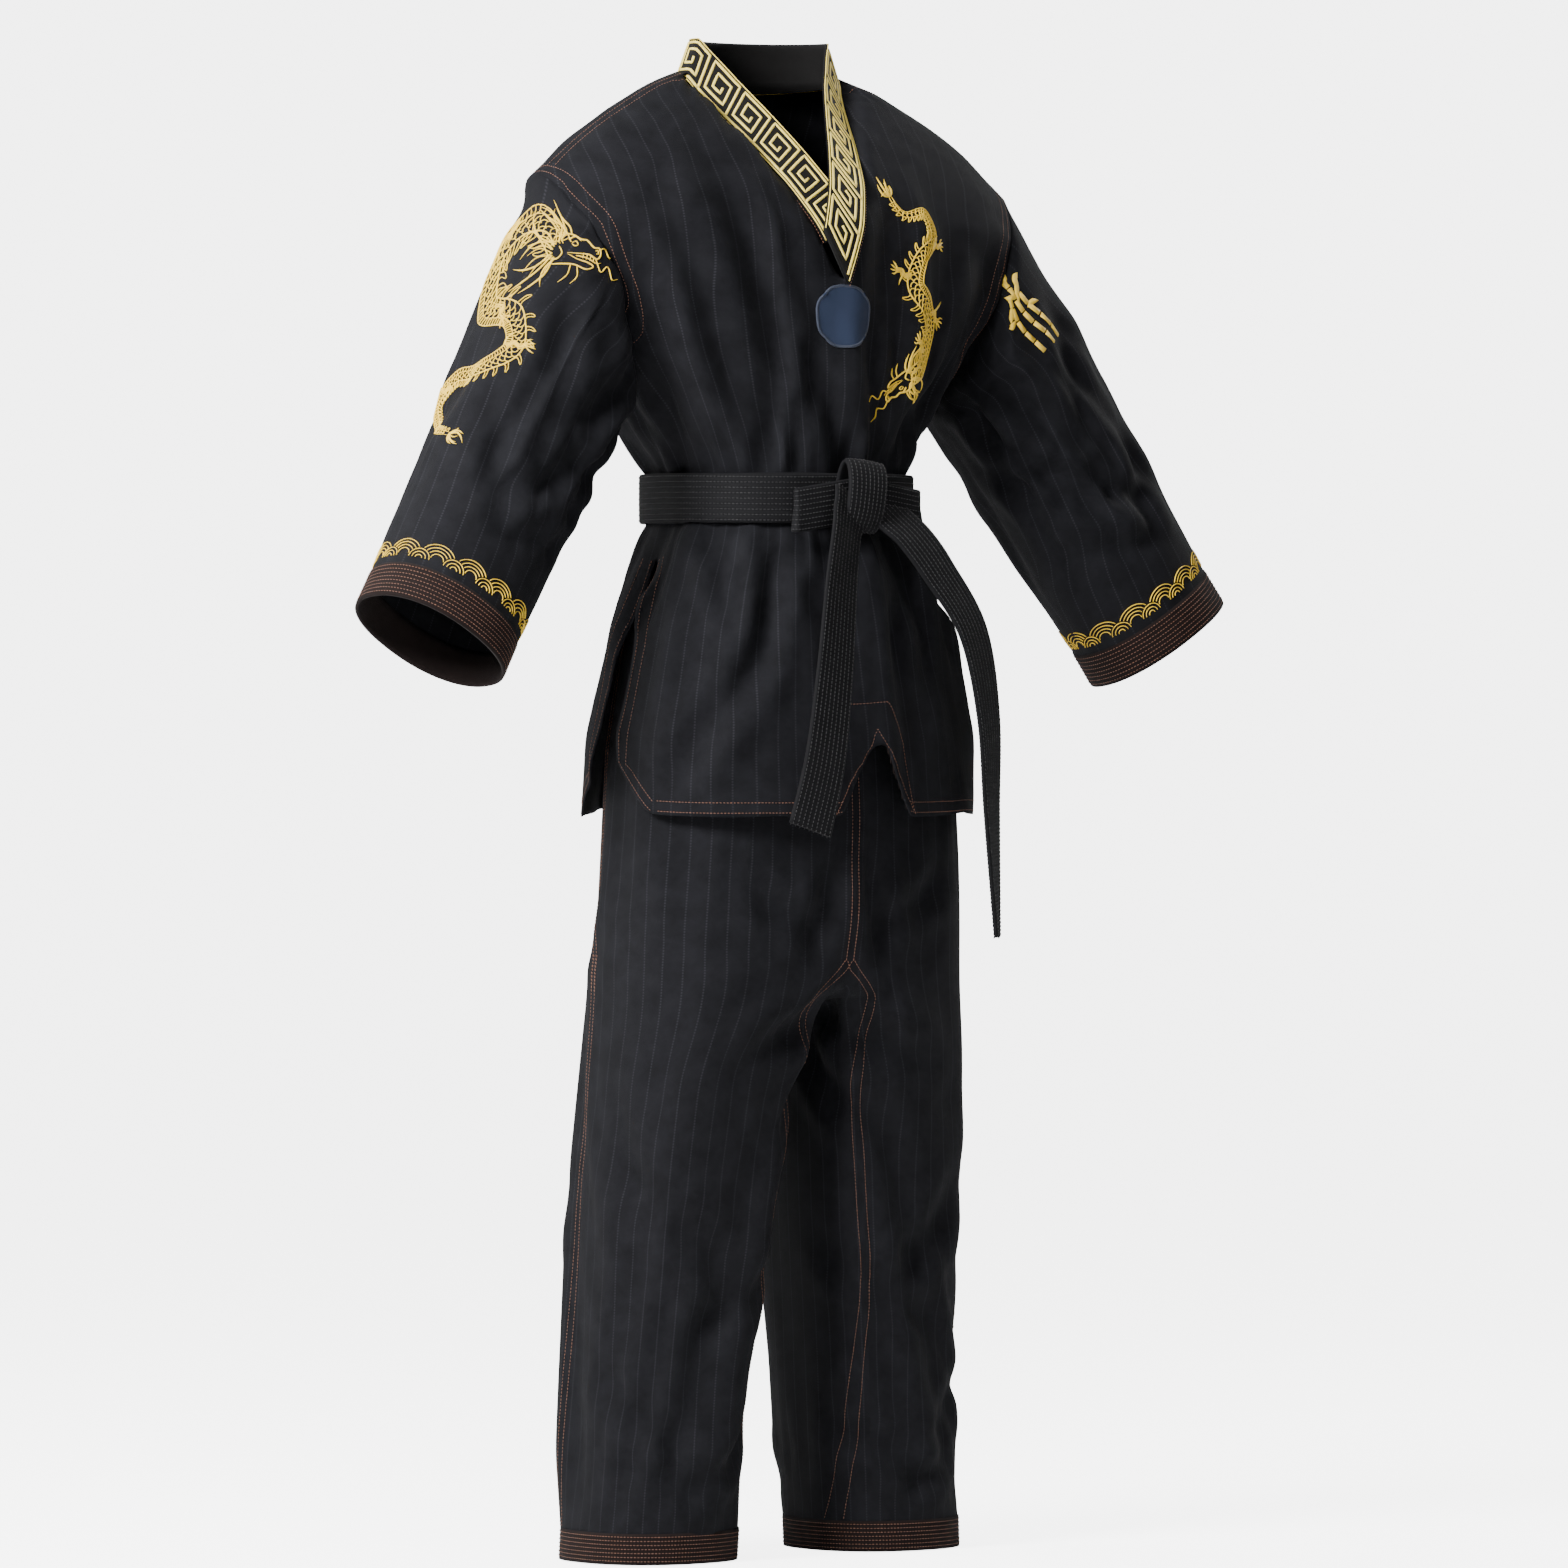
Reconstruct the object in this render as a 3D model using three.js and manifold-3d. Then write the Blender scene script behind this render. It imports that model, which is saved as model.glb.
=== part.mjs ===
// A martial arts uniform as it hangs on a wearer: a V-neck pullover jacket, trousers and a tied belt.
//
// Millimetres, +Z up. The origin is the middle of the wearer's waist, at the height of the belt's centre line.
// The wearer faces -Y, so their left side is +X. Every piece of cloth is a closed wall, cut and sewn edge to edge
// with a small seam gap, and the limbs hang from a soft stretch of cloth that bends at the shoulder or the hip.

import * as THREE from "three";
import { ParametricGeometry } from "three/addons/geometries/ParametricGeometry.js";
import { mergeVertices } from "three/addons/utils/BufferGeometryUtils.js";
import Module from "manifold-3d";

const wasm = await Module();
wasm.setup();

// ---- Driving dimensions ----

const SEAM_GAP = 0.8; // between two pieces of cloth that are sewn edge to edge
const LAYER_GAP = 0.6; // between two pieces that lie on each other
const JACKET_WALL = 2.6;
const TROUSER_WALL = 2.4;
const ROUND = 32; // segments round a torso or a leg
const SLEEVE_ROUND = 28;

const BELT_WIDTH = 45;
const BELT_THICK = 3.6;
const WAIST = { half: 121, deep: 96 }; // the jacket's outside under the belt

const JACKET_HEM_Z = -295;
const NOTCH = { x: 10, halfWidth: 40, height: 74 }; // the cut in the front hem
const VENT = { top: -48, frontEdge: -8, backEdge: 34, cornerRun: 50, cornerRise: 43 }; // the open side seam
const SIDE_SEAM_Y = 8;

const NECK = { half: 88, deep: 66, y: 20, sideZ: 386, vBottomZ: 196 };
const COLLAR = { width: 42, thick: 3.2 };
const LABEL = { width: 56, height: 52, thick: 2.4, z: 167 };

const ARMHOLE = { x: 216, z: 188, half: 106, deep: 86, tilt: THREE.MathUtils.degToRad(20.5) };
const CUFF_END = { x: 420, y: -40, z: -131 };
const SLEEVE_HEAD_SHARE = 0.29; // of the sleeve's length, the soft stretch at the shoulder
const CUFF_BAND = 34;
const WAVE_BAND = { width: 22, thick: 1.2 };

const WAISTBAND_HEIGHT = 42;
const ELASTIC = { height: 32, thick: 1.4 };
const CROTCH_Z = -436;
const LEG_SOFT_END_Z = -552;
const TROUSER_HEM_Z = -975;
const HEM_BAND = 28;
const GUSSET = { half: 26, deep: 98, thick: 2.4 };

const KNOT = { x: 8, width: 46, height: 64, deep: 25 };
const KNOT_EAR = { width: 44, height: 42, thick: 7.2 };
const TAIL_THICK = 4.2;
const TAIL_CLEARANCE = 4.5; // between the knot and a tail that swings from it

// ---- Materials ----

const cloth = new THREE.MeshStandardMaterial({ color: 0x24242b, roughness: 0.85 });
const beltCloth = new THREE.MeshStandardMaterial({ color: 0x1b1b20, roughness: 0.8 });
const stitchedBand = new THREE.MeshStandardMaterial({ color: 0x3a2620, roughness: 0.8 });
const goldThread = new THREE.MeshStandardMaterial({ color: 0xd9b23c, roughness: 0.45 });
const collarBand = new THREE.MeshStandardMaterial({ color: 0x8d7a3a, roughness: 0.6 });
const labelCloth = new THREE.MeshStandardMaterial({ color: 0x2b3a58, roughness: 0.8 });
const elasticWeb = new THREE.MeshStandardMaterial({ color: 0xd8d6cf, roughness: 0.9 });

// ---- Solids ----

/** A closed, merged geometry that holds positions only, with its faces pointing out. */
function closed(geometry) {
  geometry.deleteAttribute("normal");
  geometry.deleteAttribute("uv");
  const merged = mergeVertices(geometry, 1e-3);
  const index = merged.index.array;
  const kept = [];
  for (let i = 0; i < index.length; i += 3) {
    const [a, b, c] = [index[i], index[i + 1], index[i + 2]];
    if (a !== b && b !== c && c !== a) kept.push(a, b, c);
  }
  merged.setIndex(kept);
  if (signedVolume(merged) < 0) merged.setIndex(kept.toReversed());
  return merged;
}

/** Six times the volume inside a geometry, negative where its faces point in. */
function signedVolume(geometry) {
  const place = geometry.attributes.position;
  const index = geometry.index.array;
  const [a, b, c] = [new THREE.Vector3(), new THREE.Vector3(), new THREE.Vector3()];
  let sum = 0;
  for (let i = 0; i < index.length; i += 3) {
    a.fromBufferAttribute(place, index[i]);
    b.fromBufferAttribute(place, index[i + 1]);
    c.fromBufferAttribute(place, index[i + 2]);
    sum += a.dot(b.cross(c));
  }
  return sum;
}

function solidOf(geometry) {
  return new wasm.Manifold(
    new wasm.Mesh({
      numProp: 3,
      vertProperties: new Float32Array(geometry.attributes.position.array),
      triVerts: new Uint32Array(geometry.index.array),
    }),
  );
}

function geometryOf(solid) {
  const mesh = solid.getMesh();
  const place = new Float32Array(mesh.numVert * 3);
  for (let i = 0; i < mesh.numVert; i++) {
    place.set(mesh.vertProperties.subarray(i * mesh.numProp, i * mesh.numProp + 3), i * 3);
  }
  const geometry = new THREE.BufferGeometry();
  geometry.setAttribute("position", new THREE.BufferAttribute(place, 3));
  geometry.setIndex(new THREE.BufferAttribute(new Uint32Array(mesh.triVerts), 1));
  return geometry;
}

/** A box between two corners, as a solid. */
function boxSolid(low, high) {
  const size = high.map((value, i) => value - low[i]);
  const box = new THREE.BoxGeometry(...size);
  box.translate(...low.map((value, i) => value + size[i] / 2));
  return solidOf(closed(box));
}

/** A prism: an outline in the plane of two axes, run along the third from one place to another. */
function prismSolid(outline, axis, from, to) {
  const prism = new THREE.ExtrudeGeometry(new THREE.Shape(outline.map(([a, b]) => new THREE.Vector2(a, b))), {
    depth: to - from,
    bevelEnabled: false,
  });
  prism.translate(0, 0, from);
  // The shape's own plane is turned to (x, z) for a run along y, and to (y, z) for a run along x.
  if (axis === "y") prism.applyMatrix4(new THREE.Matrix4().set(1, 0, 0, 0, 0, 0, 1, 0, 0, 1, 0, 0, 0, 0, 0, 1));
  if (axis === "x") prism.applyMatrix4(new THREE.Matrix4().set(0, 0, 1, 0, 1, 0, 0, 0, 0, 1, 0, 0, 0, 0, 0, 1));
  return solidOf(closed(prism));
}

// ---- Rings, and the walls lofted through them ----

const AXIS_X = new THREE.Vector3(1, 0, 0);
const AXIS_Y = new THREE.Vector3(0, 1, 0);

/** A point on a ring at a share of a turn, with the ring drawn in by an inset. Its back may reach further. */
function ringPoint(ring, turn, inset = 0) {
  const angle = turn * 2 * Math.PI;
  const round = (value) => Math.sign(value) * Math.abs(value) ** (2 / ring.power);
  const deep = Math.sin(angle) > 0 ? ring.deep + (ring.flare ?? 0) : ring.deep;
  return ring.centre
    .clone()
    .addScaledVector(ring.across, (ring.half - inset) * round(Math.cos(angle)))
    .addScaledVector(ring.along, (deep - inset) * round(Math.sin(angle)));
}

const POWER = 2.4; // between an ellipse, 2, and a rectangle

/** A level ring, x across and y along. */
function levelRing(z, half, deep, x = 0, y = 0, power = POWER) {
  return { centre: new THREE.Vector3(x, y, z), across: AXIS_X, along: AXIS_Y, half, deep, power };
}

/** A closed surface through rows of ring points, where a row is a function of the share of a turn. */
function loft(rows, segments) {
  return closed(
    new ParametricGeometry(
      (u, v, target) => target.copy(rows[Math.round(v * (rows.length - 1))](u)),
      segments,
      rows.length - 1,
    ),
  );
}

/** A tube of cloth through rings: the outer surface, the hem, the inner surface and the hem at the other end. */
function clothTube(rings, wall, segments) {
  const outside = rings.map((ring) => (turn) => ringPoint(ring, turn));
  const inside = rings.toReversed().map((ring) => (turn) => ringPoint(ring, turn, wall));
  return loft([...outside, ...inside, outside[0]], segments);
}

/** A solid through rings, closed by a flat fan at each end. */
function solidLoft(rings, inset, segments) {
  const middle = (ring) => () => ring.centre.clone();
  const sides = rings.map((ring) => (turn) => ringPoint(ring, turn, inset));
  return solidOf(loft([middle(rings[0]), ...sides, middle(rings.at(-1))], segments));
}

/** A flat strap along a path. Each station gives its centre, the way its width runs and the way it faces. */
function strap(stations, width, thick) {
  const corners = [[-1, -1], [1, -1], [1, 1], [-1, 1]];
  const corner = (station, [w, t]) =>
    station.centre
      .clone()
      .addScaledVector(station.widthWay, (w * width) / 2)
      .addScaledVector(station.faceWay, (t * thick) / 2);
  const middle = (station) => () => station.centre.clone();
  const sides = stations.map((station) => (turn) => corner(station, corners[Math.round(turn * 4) % 4]));
  return loft([middle(stations[0]), ...sides, middle(stations.at(-1))], 4);
}

/** Turns each station's face square to its width and to the path through the stations. */
function faced(stations) {
  return stations.map(({ centre, widthWay }, i) => {
    const before = stations[Math.max(0, i - 1)].centre;
    const after = stations[Math.min(stations.length - 1, i + 1)].centre;
    const tangent = after.clone().sub(before).normalize();
    return { centre, widthWay, faceWay: new THREE.Vector3().crossVectors(tangent, widthWay).normalize() };
  });
}

const uniform = new THREE.Group();

function add(name, geometry, material) {
  const mesh = new THREE.Mesh(geometry, material);
  mesh.name = name;
  uniform.add(mesh);
  return mesh;
}

const SIDES = [
  { name: "right", sign: -1 },
  { name: "left", sign: 1 },
];

// ---- Jacket body ----

// z, half width, half depth, the middle's y and how much further the back reaches, from the hem to the shoulders.
const torsoLevels = [
  [JACKET_HEM_Z, 190, 132, -12, 36],
  [-220, 187, 126, -10, 26],
  [-120, 167, 114, -6, 10],
  [-48, 134, 103, -2],
  [-BELT_WIDTH / 2, WAIST.half, WAIST.deep, 0],
  [BELT_WIDTH / 2, WAIST.half, WAIST.deep, 0],
  [48, 134, 103, 3],
  [100, 168, 110, 6],
  [186, 238, 112, 8],
  [250, 264, 106, 10],
  [290, 258, 94, 12, 5],
  [330, 220, 76, 16, 11],
  [362, 166, 60, 22, 14],
  [385, 116, 47, 28, 13],
  [398, 76, 34, 32, 6],
];
const torsoRings = torsoLevels.map(([z, half, deep, y, flare]) => ({ ...levelRing(z, half, deep, 0, y), flare }));

/** The half width, half depth and middle's y at a height, by straight steps between the levels. */
function torsoLevelAt(z) {
  const upper = torsoLevels.findIndex(([level]) => level >= z);
  const [low, high] = [torsoLevels[Math.max(0, upper - 1)], torsoLevels[upper]];
  const share = high === low ? 0 : (z - low[0]) / (high[0] - low[0]);
  return [1, 2, 3].map((i) => THREE.MathUtils.lerp(low[i], high[i], share));
}

/** The front surface's y at a place on the jacket. */
function torsoFrontY(x, z) {
  const [half, deep, y] = torsoLevelAt(z);
  return y - deep * (1 - Math.min(0.999, Math.abs(x) / half) ** POWER) ** (1 / POWER);
}

/** The space beyond an armhole's plane, as a large turned box that stops above the waist. */
function beyondArmhole(sign) {
  const reach = 400;
  const box = new THREE.BoxGeometry(reach, reach, 2 * ARMHOLE.half + 80);
  box.translate(reach / 2, 0, 0);
  box.rotateY(ARMHOLE.tilt);
  box.translate(ARMHOLE.x, SIDE_SEAM_Y, ARMHOLE.z);
  if (sign < 0) box.scale(-1, 1, 1);
  return solidOf(closed(box));
}

function torsoShell() {
  const outside = solidLoft(torsoRings, 0, ROUND);
  const hem = torsoRings[0];
  const below = { ...hem, centre: hem.centre.clone().setZ(JACKET_HEM_Z - 20) };
  const crown = torsoRings.at(-1);
  const lowered = { ...crown, centre: crown.centre.clone().setZ(crown.centre.z - JACKET_WALL) };
  const inside = solidLoft([below, ...torsoRings.slice(0, -1), lowered], JACKET_WALL, ROUND);
  return outside.subtract(inside);
}

/** What is cut away for the neck: a V in front of the shoulder seam, and half an oval behind it. */
function neckCut() {
  const gap = SEAM_GAP + COLLAR.thick / 2;
  const front = prismSolid(
    [
      [0, NECK.vBottomZ - gap * 2],
      [NECK.half + gap, NECK.sideZ - 4],
      [NECK.half + gap, 460],
      [-NECK.half - gap, 460],
      [-NECK.half - gap, NECK.sideZ - 4],
    ],
    "y",
    -220,
    NECK.y,
  );
  const around = levelRing(270, NECK.half + gap, NECK.deep + gap, 0, NECK.y, 2.1);
  const top = { ...around, centre: around.centre.clone().setZ(460) };
  const back = solidLoft([around, top], 0, ROUND).intersect(boxSolid([-200, NECK.y - 1, 260], [200, 200, 460]));
  return front.add(back);
}

/** The open side seam below the belt, with the skirt's corners cut off. */
function ventCut(sign) {
  const low = JACKET_HEM_Z - 20;
  const [front, back] = [VENT.frontEdge - VENT.cornerRun, VENT.backEdge + VENT.cornerRun];
  const outline = [
    [SIDE_SEAM_Y, VENT.top],
    [VENT.frontEdge, VENT.top - 92],
    [VENT.frontEdge, JACKET_HEM_Z + VENT.cornerRise],
    [front, JACKET_HEM_Z],
    [front, low],
    [back, low],
    [back, JACKET_HEM_Z],
    [VENT.backEdge, JACKET_HEM_Z + VENT.cornerRise],
    [VENT.backEdge - 10, VENT.top - 92],
  ];
  const [from, to] = sign < 0 ? [-260, -70] : [70, 260];
  return prismSolid(outline, "x", from, to);
}

function notchCut() {
  const low = JACKET_HEM_Z - 20;
  const slope = NOTCH.halfWidth / NOTCH.height;
  const half = NOTCH.halfWidth + 20 * slope;
  return prismSolid(
    [
      [NOTCH.x - half, low],
      [NOTCH.x + half, low],
      [NOTCH.x, JACKET_HEM_Z + NOTCH.height],
    ],
    "y",
    -260,
    -40,
  );
}

const jacketCuts = [neckCut(), notchCut(), ...SIDES.flatMap(({ sign }) => [ventCut(sign), beyondArmhole(sign)])];
const jacketBody = jacketCuts.reduce((solid, cut) => solid.subtract(cut), torsoShell());
const seamHalf = SEAM_GAP / 2;
const frontSide = boxSolid([-400, -400, -400], [400, SIDE_SEAM_Y - seamHalf, 500]);
const backSide = boxSolid([-400, SIDE_SEAM_Y + seamHalf, -400], [400, 400, 500]);
add("jacket_front_panel", geometryOf(jacketBody.intersect(frontSide)), cloth);
add("jacket_back_panel", geometryOf(jacketBody.intersect(backSide)), cloth);

// The facing behind the front hem's notch, a second layer of cloth inside the skirt.
const facingTop = JACKET_HEM_Z + NOTCH.height + 30;
const facingRings = [JACKET_HEM_Z, -220, -150].map((z) => {
  const [half, deep, y] = torsoLevelAt(z);
  return levelRing(z, half - JACKET_WALL - LAYER_GAP, deep - JACKET_WALL - LAYER_GAP, 0, y);
});
const facingShell = solidOf(clothTube(facingRings, 1.4, ROUND));
const facingOutline = prismSolid(
  [
    [NOTCH.x - NOTCH.halfWidth - 18, JACKET_HEM_Z - 1],
    [NOTCH.x + NOTCH.halfWidth + 18, JACKET_HEM_Z - 1],
    [NOTCH.x + NOTCH.halfWidth * 0.5, facingTop],
    [NOTCH.x - NOTCH.halfWidth * 0.5, facingTop],
  ],
  "y",
  -260,
  -40,
);
add("hem_notch_facing", geometryOf(facingShell.intersect(facingOutline).subtract(notchCut())), cloth);

// ---- Collar ----

/**
 * One side of the V, from below the V to the side of the neck. The band lies on the chest at its lower end and
 * stands up round the neck at its upper end.
 */
function lapelStations(sign, lift, start) {
  const steps = 10;
  return Array.from({ length: steps + 1 }, (_, i) => {
    const share = start + (1 - start) * (i / steps);
    const rise = share ** 2;
    const edge = new THREE.Vector2(NECK.half * share, THREE.MathUtils.lerp(NECK.vBottomZ, NECK.sideZ, share));
    const inward = new THREE.Vector2(-0.913 + 0.574 * rise, 0.404 + 0.536 * rise).normalize();
    const onBody = (place) => {
      const surface = torsoFrontY(place.x, Math.min(place.y, NECK.sideZ - 2));
      const y = THREE.MathUtils.lerp(surface, NECK.y, share ** 3) - lift * (1 - share ** 4);
      return new THREE.Vector3(sign * place.x, y, place.y);
    };
    const outer = onBody(edge);
    const inner = onBody(edge.clone().addScaledVector(inward, COLLAR.width));
    const stood = new THREE.Vector3(sign * inward.x, 0, inward.y);
    const widthWay = inner.sub(outer).normalize().lerp(stood, rise).normalize();
    return { centre: outer.addScaledVector(widthWay, COLLAR.width / 2), widthWay };
  });
}

/** The band round the back of the neck, which stands up from the neckline. */
function neckBandStations() {
  const steps = 14;
  const lean = 0.36;
  return Array.from({ length: steps + 1 }, (_, i) => {
    const angle = THREE.MathUtils.lerp(0.03, Math.PI - 0.03, i / steps);
    const out = new THREE.Vector3(Math.cos(angle), Math.sin(angle), 0);
    const widthWay = new THREE.Vector3(-lean * out.x, -lean * out.y, 1).normalize();
    const edge = new THREE.Vector3(NECK.half * out.x, NECK.y + NECK.deep * out.y, NECK.sideZ);
    return { centre: edge.addScaledVector(widthWay, COLLAR.width / 2), widthWay };
  });
}

// The left lapel crosses over the right one, which is trimmed where the curved chest would press it into the left.
const LAPEL_REST = 1.0;
const LAPEL_STEP = COLLAR.thick + LAYER_GAP * 3;
const aheadOfBand = boxSolid([-200, -300, 100], [200, NECK.y - SEAM_GAP, 460]);
function lapel(sign, lift, start) {
  const band = strap(faced(lapelStations(sign, lift, start)), COLLAR.width, COLLAR.thick);
  return solidOf(band).intersect(aheadOfBand);
}
const leftLapel = lapel(1, LAPEL_REST + LAPEL_STEP, 0.02);
const clearance = [-1, 0, 1].map((way) => leftLapel.translate([way * LAYER_GAP, LAYER_GAP, 0]));
const rightLapel = clearance.reduce((solid, copy) => solid.subtract(copy), lapel(-1, LAPEL_REST, 0.2));
add("right_lapel_band", geometryOf(rightLapel), collarBand);
add("left_lapel_band", geometryOf(leftLapel), collarBand);
const behindLapels = boxSolid([-200, NECK.y, 100], [200, 200, 460]);
const neckBand = solidOf(strap(faced(neckBandStations()), COLLAR.width, COLLAR.thick)).intersect(behindLapels);
add("back_neck_band", geometryOf(neckBand), collarBand);

// ---- Label, a blank flat patch below the V ----

const label = add("chest_label", closed(new THREE.BoxGeometry(LABEL.width, LABEL.thick, LABEL.height)), labelCloth);
label.position.set(0, torsoFrontY(0, LABEL.z) - LABEL.thick / 2 - LAYER_GAP * 2, LABEL.z);

// ---- Sleeves ----

function sleeveRings(sign) {
  const tilt = ARMHOLE.tilt;
  const start = new THREE.Vector3(sign * ARMHOLE.x, SIDE_SEAM_Y, ARMHOLE.z);
  const end = new THREE.Vector3(sign * CUFF_END.x, CUFF_END.y, CUFF_END.z);
  const way = end.clone().sub(start);
  const length = way.length();
  way.normalize();
  const along = AXIS_Y.clone().addScaledVector(way, -way.y).normalize();
  const across = new THREE.Vector3().crossVectors(along, way).normalize();
  if (across.z < 0) across.negate();
  const at = (distance, half, deep) => ({
    centre: start.clone().addScaledVector(way, distance),
    across,
    along,
    half,
    deep,
    power: 2.2,
  });
  const hole = {
    centre: start.clone().add(new THREE.Vector3(sign * SEAM_GAP * Math.cos(tilt), 0, -SEAM_GAP * Math.sin(tilt))),
    across: new THREE.Vector3(sign * Math.sin(tilt), 0, Math.cos(tilt)),
    along: AXIS_Y,
    half: ARMHOLE.half,
    deep: ARMHOLE.deep,
    power: 2.2,
  };
  return { at, hole, length };
}

for (const { name, sign } of SIDES) {
  const { at, hole, length } = sleeveRings(sign);
  const head = length * SLEEVE_HEAD_SHARE;
  const band = length - CUFF_BAND;
  const elbow = length * 0.62;
  const wave = band - 6;
  add(
    `${name}_sleeve_head`,
    clothTube([hole, at(head * 0.6, 93, 82), at(head, 87, 78)], JACKET_WALL, SLEEVE_ROUND),
    cloth,
  );
  add(
    `${name}_sleeve`,
    clothTube([at(head + SEAM_GAP, 87, 78), at(elbow, 79, 68), at(band, 75, 61)], JACKET_WALL, SLEEVE_ROUND),
    cloth,
  );
  add(
    `${name}_cuff_band`,
    clothTube([at(band + SEAM_GAP, 75.5, 61.5), at(length, 75, 61)], JACKET_WALL + 0.8, SLEEVE_ROUND),
    stitchedBand,
  );
  const proud = LAYER_GAP * 1.5 + WAVE_BAND.thick;
  add(
    `${name}_wave_border`,
    clothTube(
      [at(wave - WAVE_BAND.width, 76 + proud, 62.4 + proud), at(wave, 75.4 + proud, 61.4 + proud)],
      WAVE_BAND.thick,
      SLEEVE_ROUND,
    ),
    goldThread,
  );
}

// ---- Belt: two turns round the waist, a knot and two hanging tails ----

function beltTurn(layer) {
  const out = LAYER_GAP + (layer + 1) * BELT_THICK + layer * LAYER_GAP;
  const ring = (z) => levelRing(z, WAIST.half + out, WAIST.deep + out);
  return clothTube([ring(-BELT_WIDTH / 2), ring(BELT_WIDTH / 2)], BELT_THICK, ROUND);
}
add("belt_inner_turn", beltTurn(0), beltCloth);
add("belt_outer_turn", beltTurn(1), beltCloth);

const beltFrontY = -(WAIST.deep + 2 * (LAYER_GAP + BELT_THICK));
/** A rounded block of folded belt: a superellipse lofted along X and drawn in at its ends. */
function foldedBelt(width, height, deep, place, turn) {
  const ring = (x, share) => ({
    centre: new THREE.Vector3(x, 0, 0),
    across: AXIS_Y,
    along: new THREE.Vector3(0, 0, 1),
    half: (deep / 2) * share,
    deep: (height / 2) * share,
    power: 3,
  });
  const half = width / 2;
  const block = solidLoft([ring(-half, 0.8), ring(-half * 0.7, 1), ring(half * 0.7, 1), ring(half, 0.8)], 0, 16);
  const geometry = geometryOf(block);
  geometry.rotateY(turn);
  geometry.translate(...place);
  return geometry;
}
const knotY = beltFrontY - LAYER_GAP - KNOT.deep / 2;
add("belt_knot", foldedBelt(KNOT.width, KNOT.height, KNOT.deep, [KNOT.x, knotY, 2], 0.12), beltCloth);
const earY = beltFrontY - LAYER_GAP * 2 - KNOT_EAR.thick / 2 - 3;
for (const { name, sign } of SIDES) {
  const x = KNOT.x + sign * (KNOT.width / 2 + 6 + KNOT_EAR.width / 2);
  const ear = foldedBelt(KNOT_EAR.width, KNOT_EAR.height, KNOT_EAR.thick, [x, earY - (sign < 0 ? 2 : 0), -2], sign * 0.14);
  add(`belt_knot_${name}_wing`, ear, beltCloth);
}

const tailTop = -KNOT_EAR.height / 2 - 2 - TAIL_CLEARANCE;

/** A hanging belt end along a smooth route, its width turned about Z from one angle to another. */
function tailStations(route, steps, fromTurn, toTurn) {
  const curve = new THREE.CatmullRomCurve3(route.map((point) => new THREE.Vector3(...point)));
  return faced(
    curve.getPoints(steps).map((centre, i) => {
      const turn = THREE.MathUtils.lerp(fromTurn, toTurn, Math.min(1, (1.6 * i) / steps));
      const level = new THREE.Vector3(Math.cos(turn), Math.sin(turn), 0);
      const way = curve.getTangent(i / steps);
      return { centre, widthWay: level.addScaledVector(way, -level.dot(way)).normalize() };
    }),
  );
}

// The right tail lies down the front of the skirt. The left tail falls outside the hip, edge on to the front.
const rightTailRoute = [
  [-18, -131, tailTop],
  [-28, -136, -80],
  [-43, -146, -160],
  [-61, -155, -240],
  [-82, -160, -305],
];
const leftTailRoute = [
  [62, -130, tailTop - 8],
  [84, -136, -66],
  [120, -142, -122],
  [138, -142, -200],
  [142, -142, -290],
  [150, -140, -405],
];
add("belt_right_tail", strap(tailStations(rightTailRoute, 10, 0.4, -0.1), BELT_WIDTH, TAIL_THICK), beltCloth);
add("belt_left_tail", strap(tailStations(leftTailRoute, 14, 0.0, 0.85), BELT_WIDTH, TAIL_THICK), beltCloth);

// ---- Trousers ----

const waistOut = { half: WAIST.half - JACKET_WALL - 2, deep: WAIST.deep - JACKET_WALL - 2 };
const bandLow = -WAISTBAND_HEIGHT / 2;
const bandHigh = WAISTBAND_HEIGHT / 2;
const waistRing = (z, inset) => levelRing(z, waistOut.half - inset, waistOut.deep - inset);
add("waistband", clothTube([waistRing(bandLow, 0), waistRing(bandHigh, 0)], 2, ROUND), cloth);
const elasticInset = 2 + LAYER_GAP;
add(
  "waist_elastic",
  clothTube([waistRing(-ELASTIC.height / 2, elasticInset), waistRing(ELASTIC.height / 2, elasticInset)], ELASTIC.thick, ROUND),
  elasticWeb,
);

const LEG_X = 97;
const hipRings = [
  levelRing(CROTCH_Z, 188, 116, 0, 2, 2.6),
  levelRing(-295, 181, 119, 0, -6),
  levelRing(-220, 177, 114, 0, -6),
  levelRing(-120, 156, 102, 0, -4),
  levelRing(-48, 124, 92, 0, -1),
  waistRing(bandLow - SEAM_GAP, 0),
];
const hips = solidOf(clothTube(hipRings, TROUSER_WALL, ROUND));
add("trouser_front_panel", geometryOf(hips.intersect(frontSide.translate([0, 0, -500]))), cloth);
add("trouser_back_panel", geometryOf(hips.intersect(backSide.translate([0, 0, -500]))), cloth);

const gussetRing = (z) => levelRing(z, GUSSET.half, GUSSET.deep, 0, 2, 1.3);
const gussetTop = CROTCH_Z - SEAM_GAP;
const gusset = solidLoft([gussetRing(gussetTop - GUSSET.thick), gussetRing(gussetTop)], 0, 16);
add("crotch_gusset", geometryOf(gusset), cloth);

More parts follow.
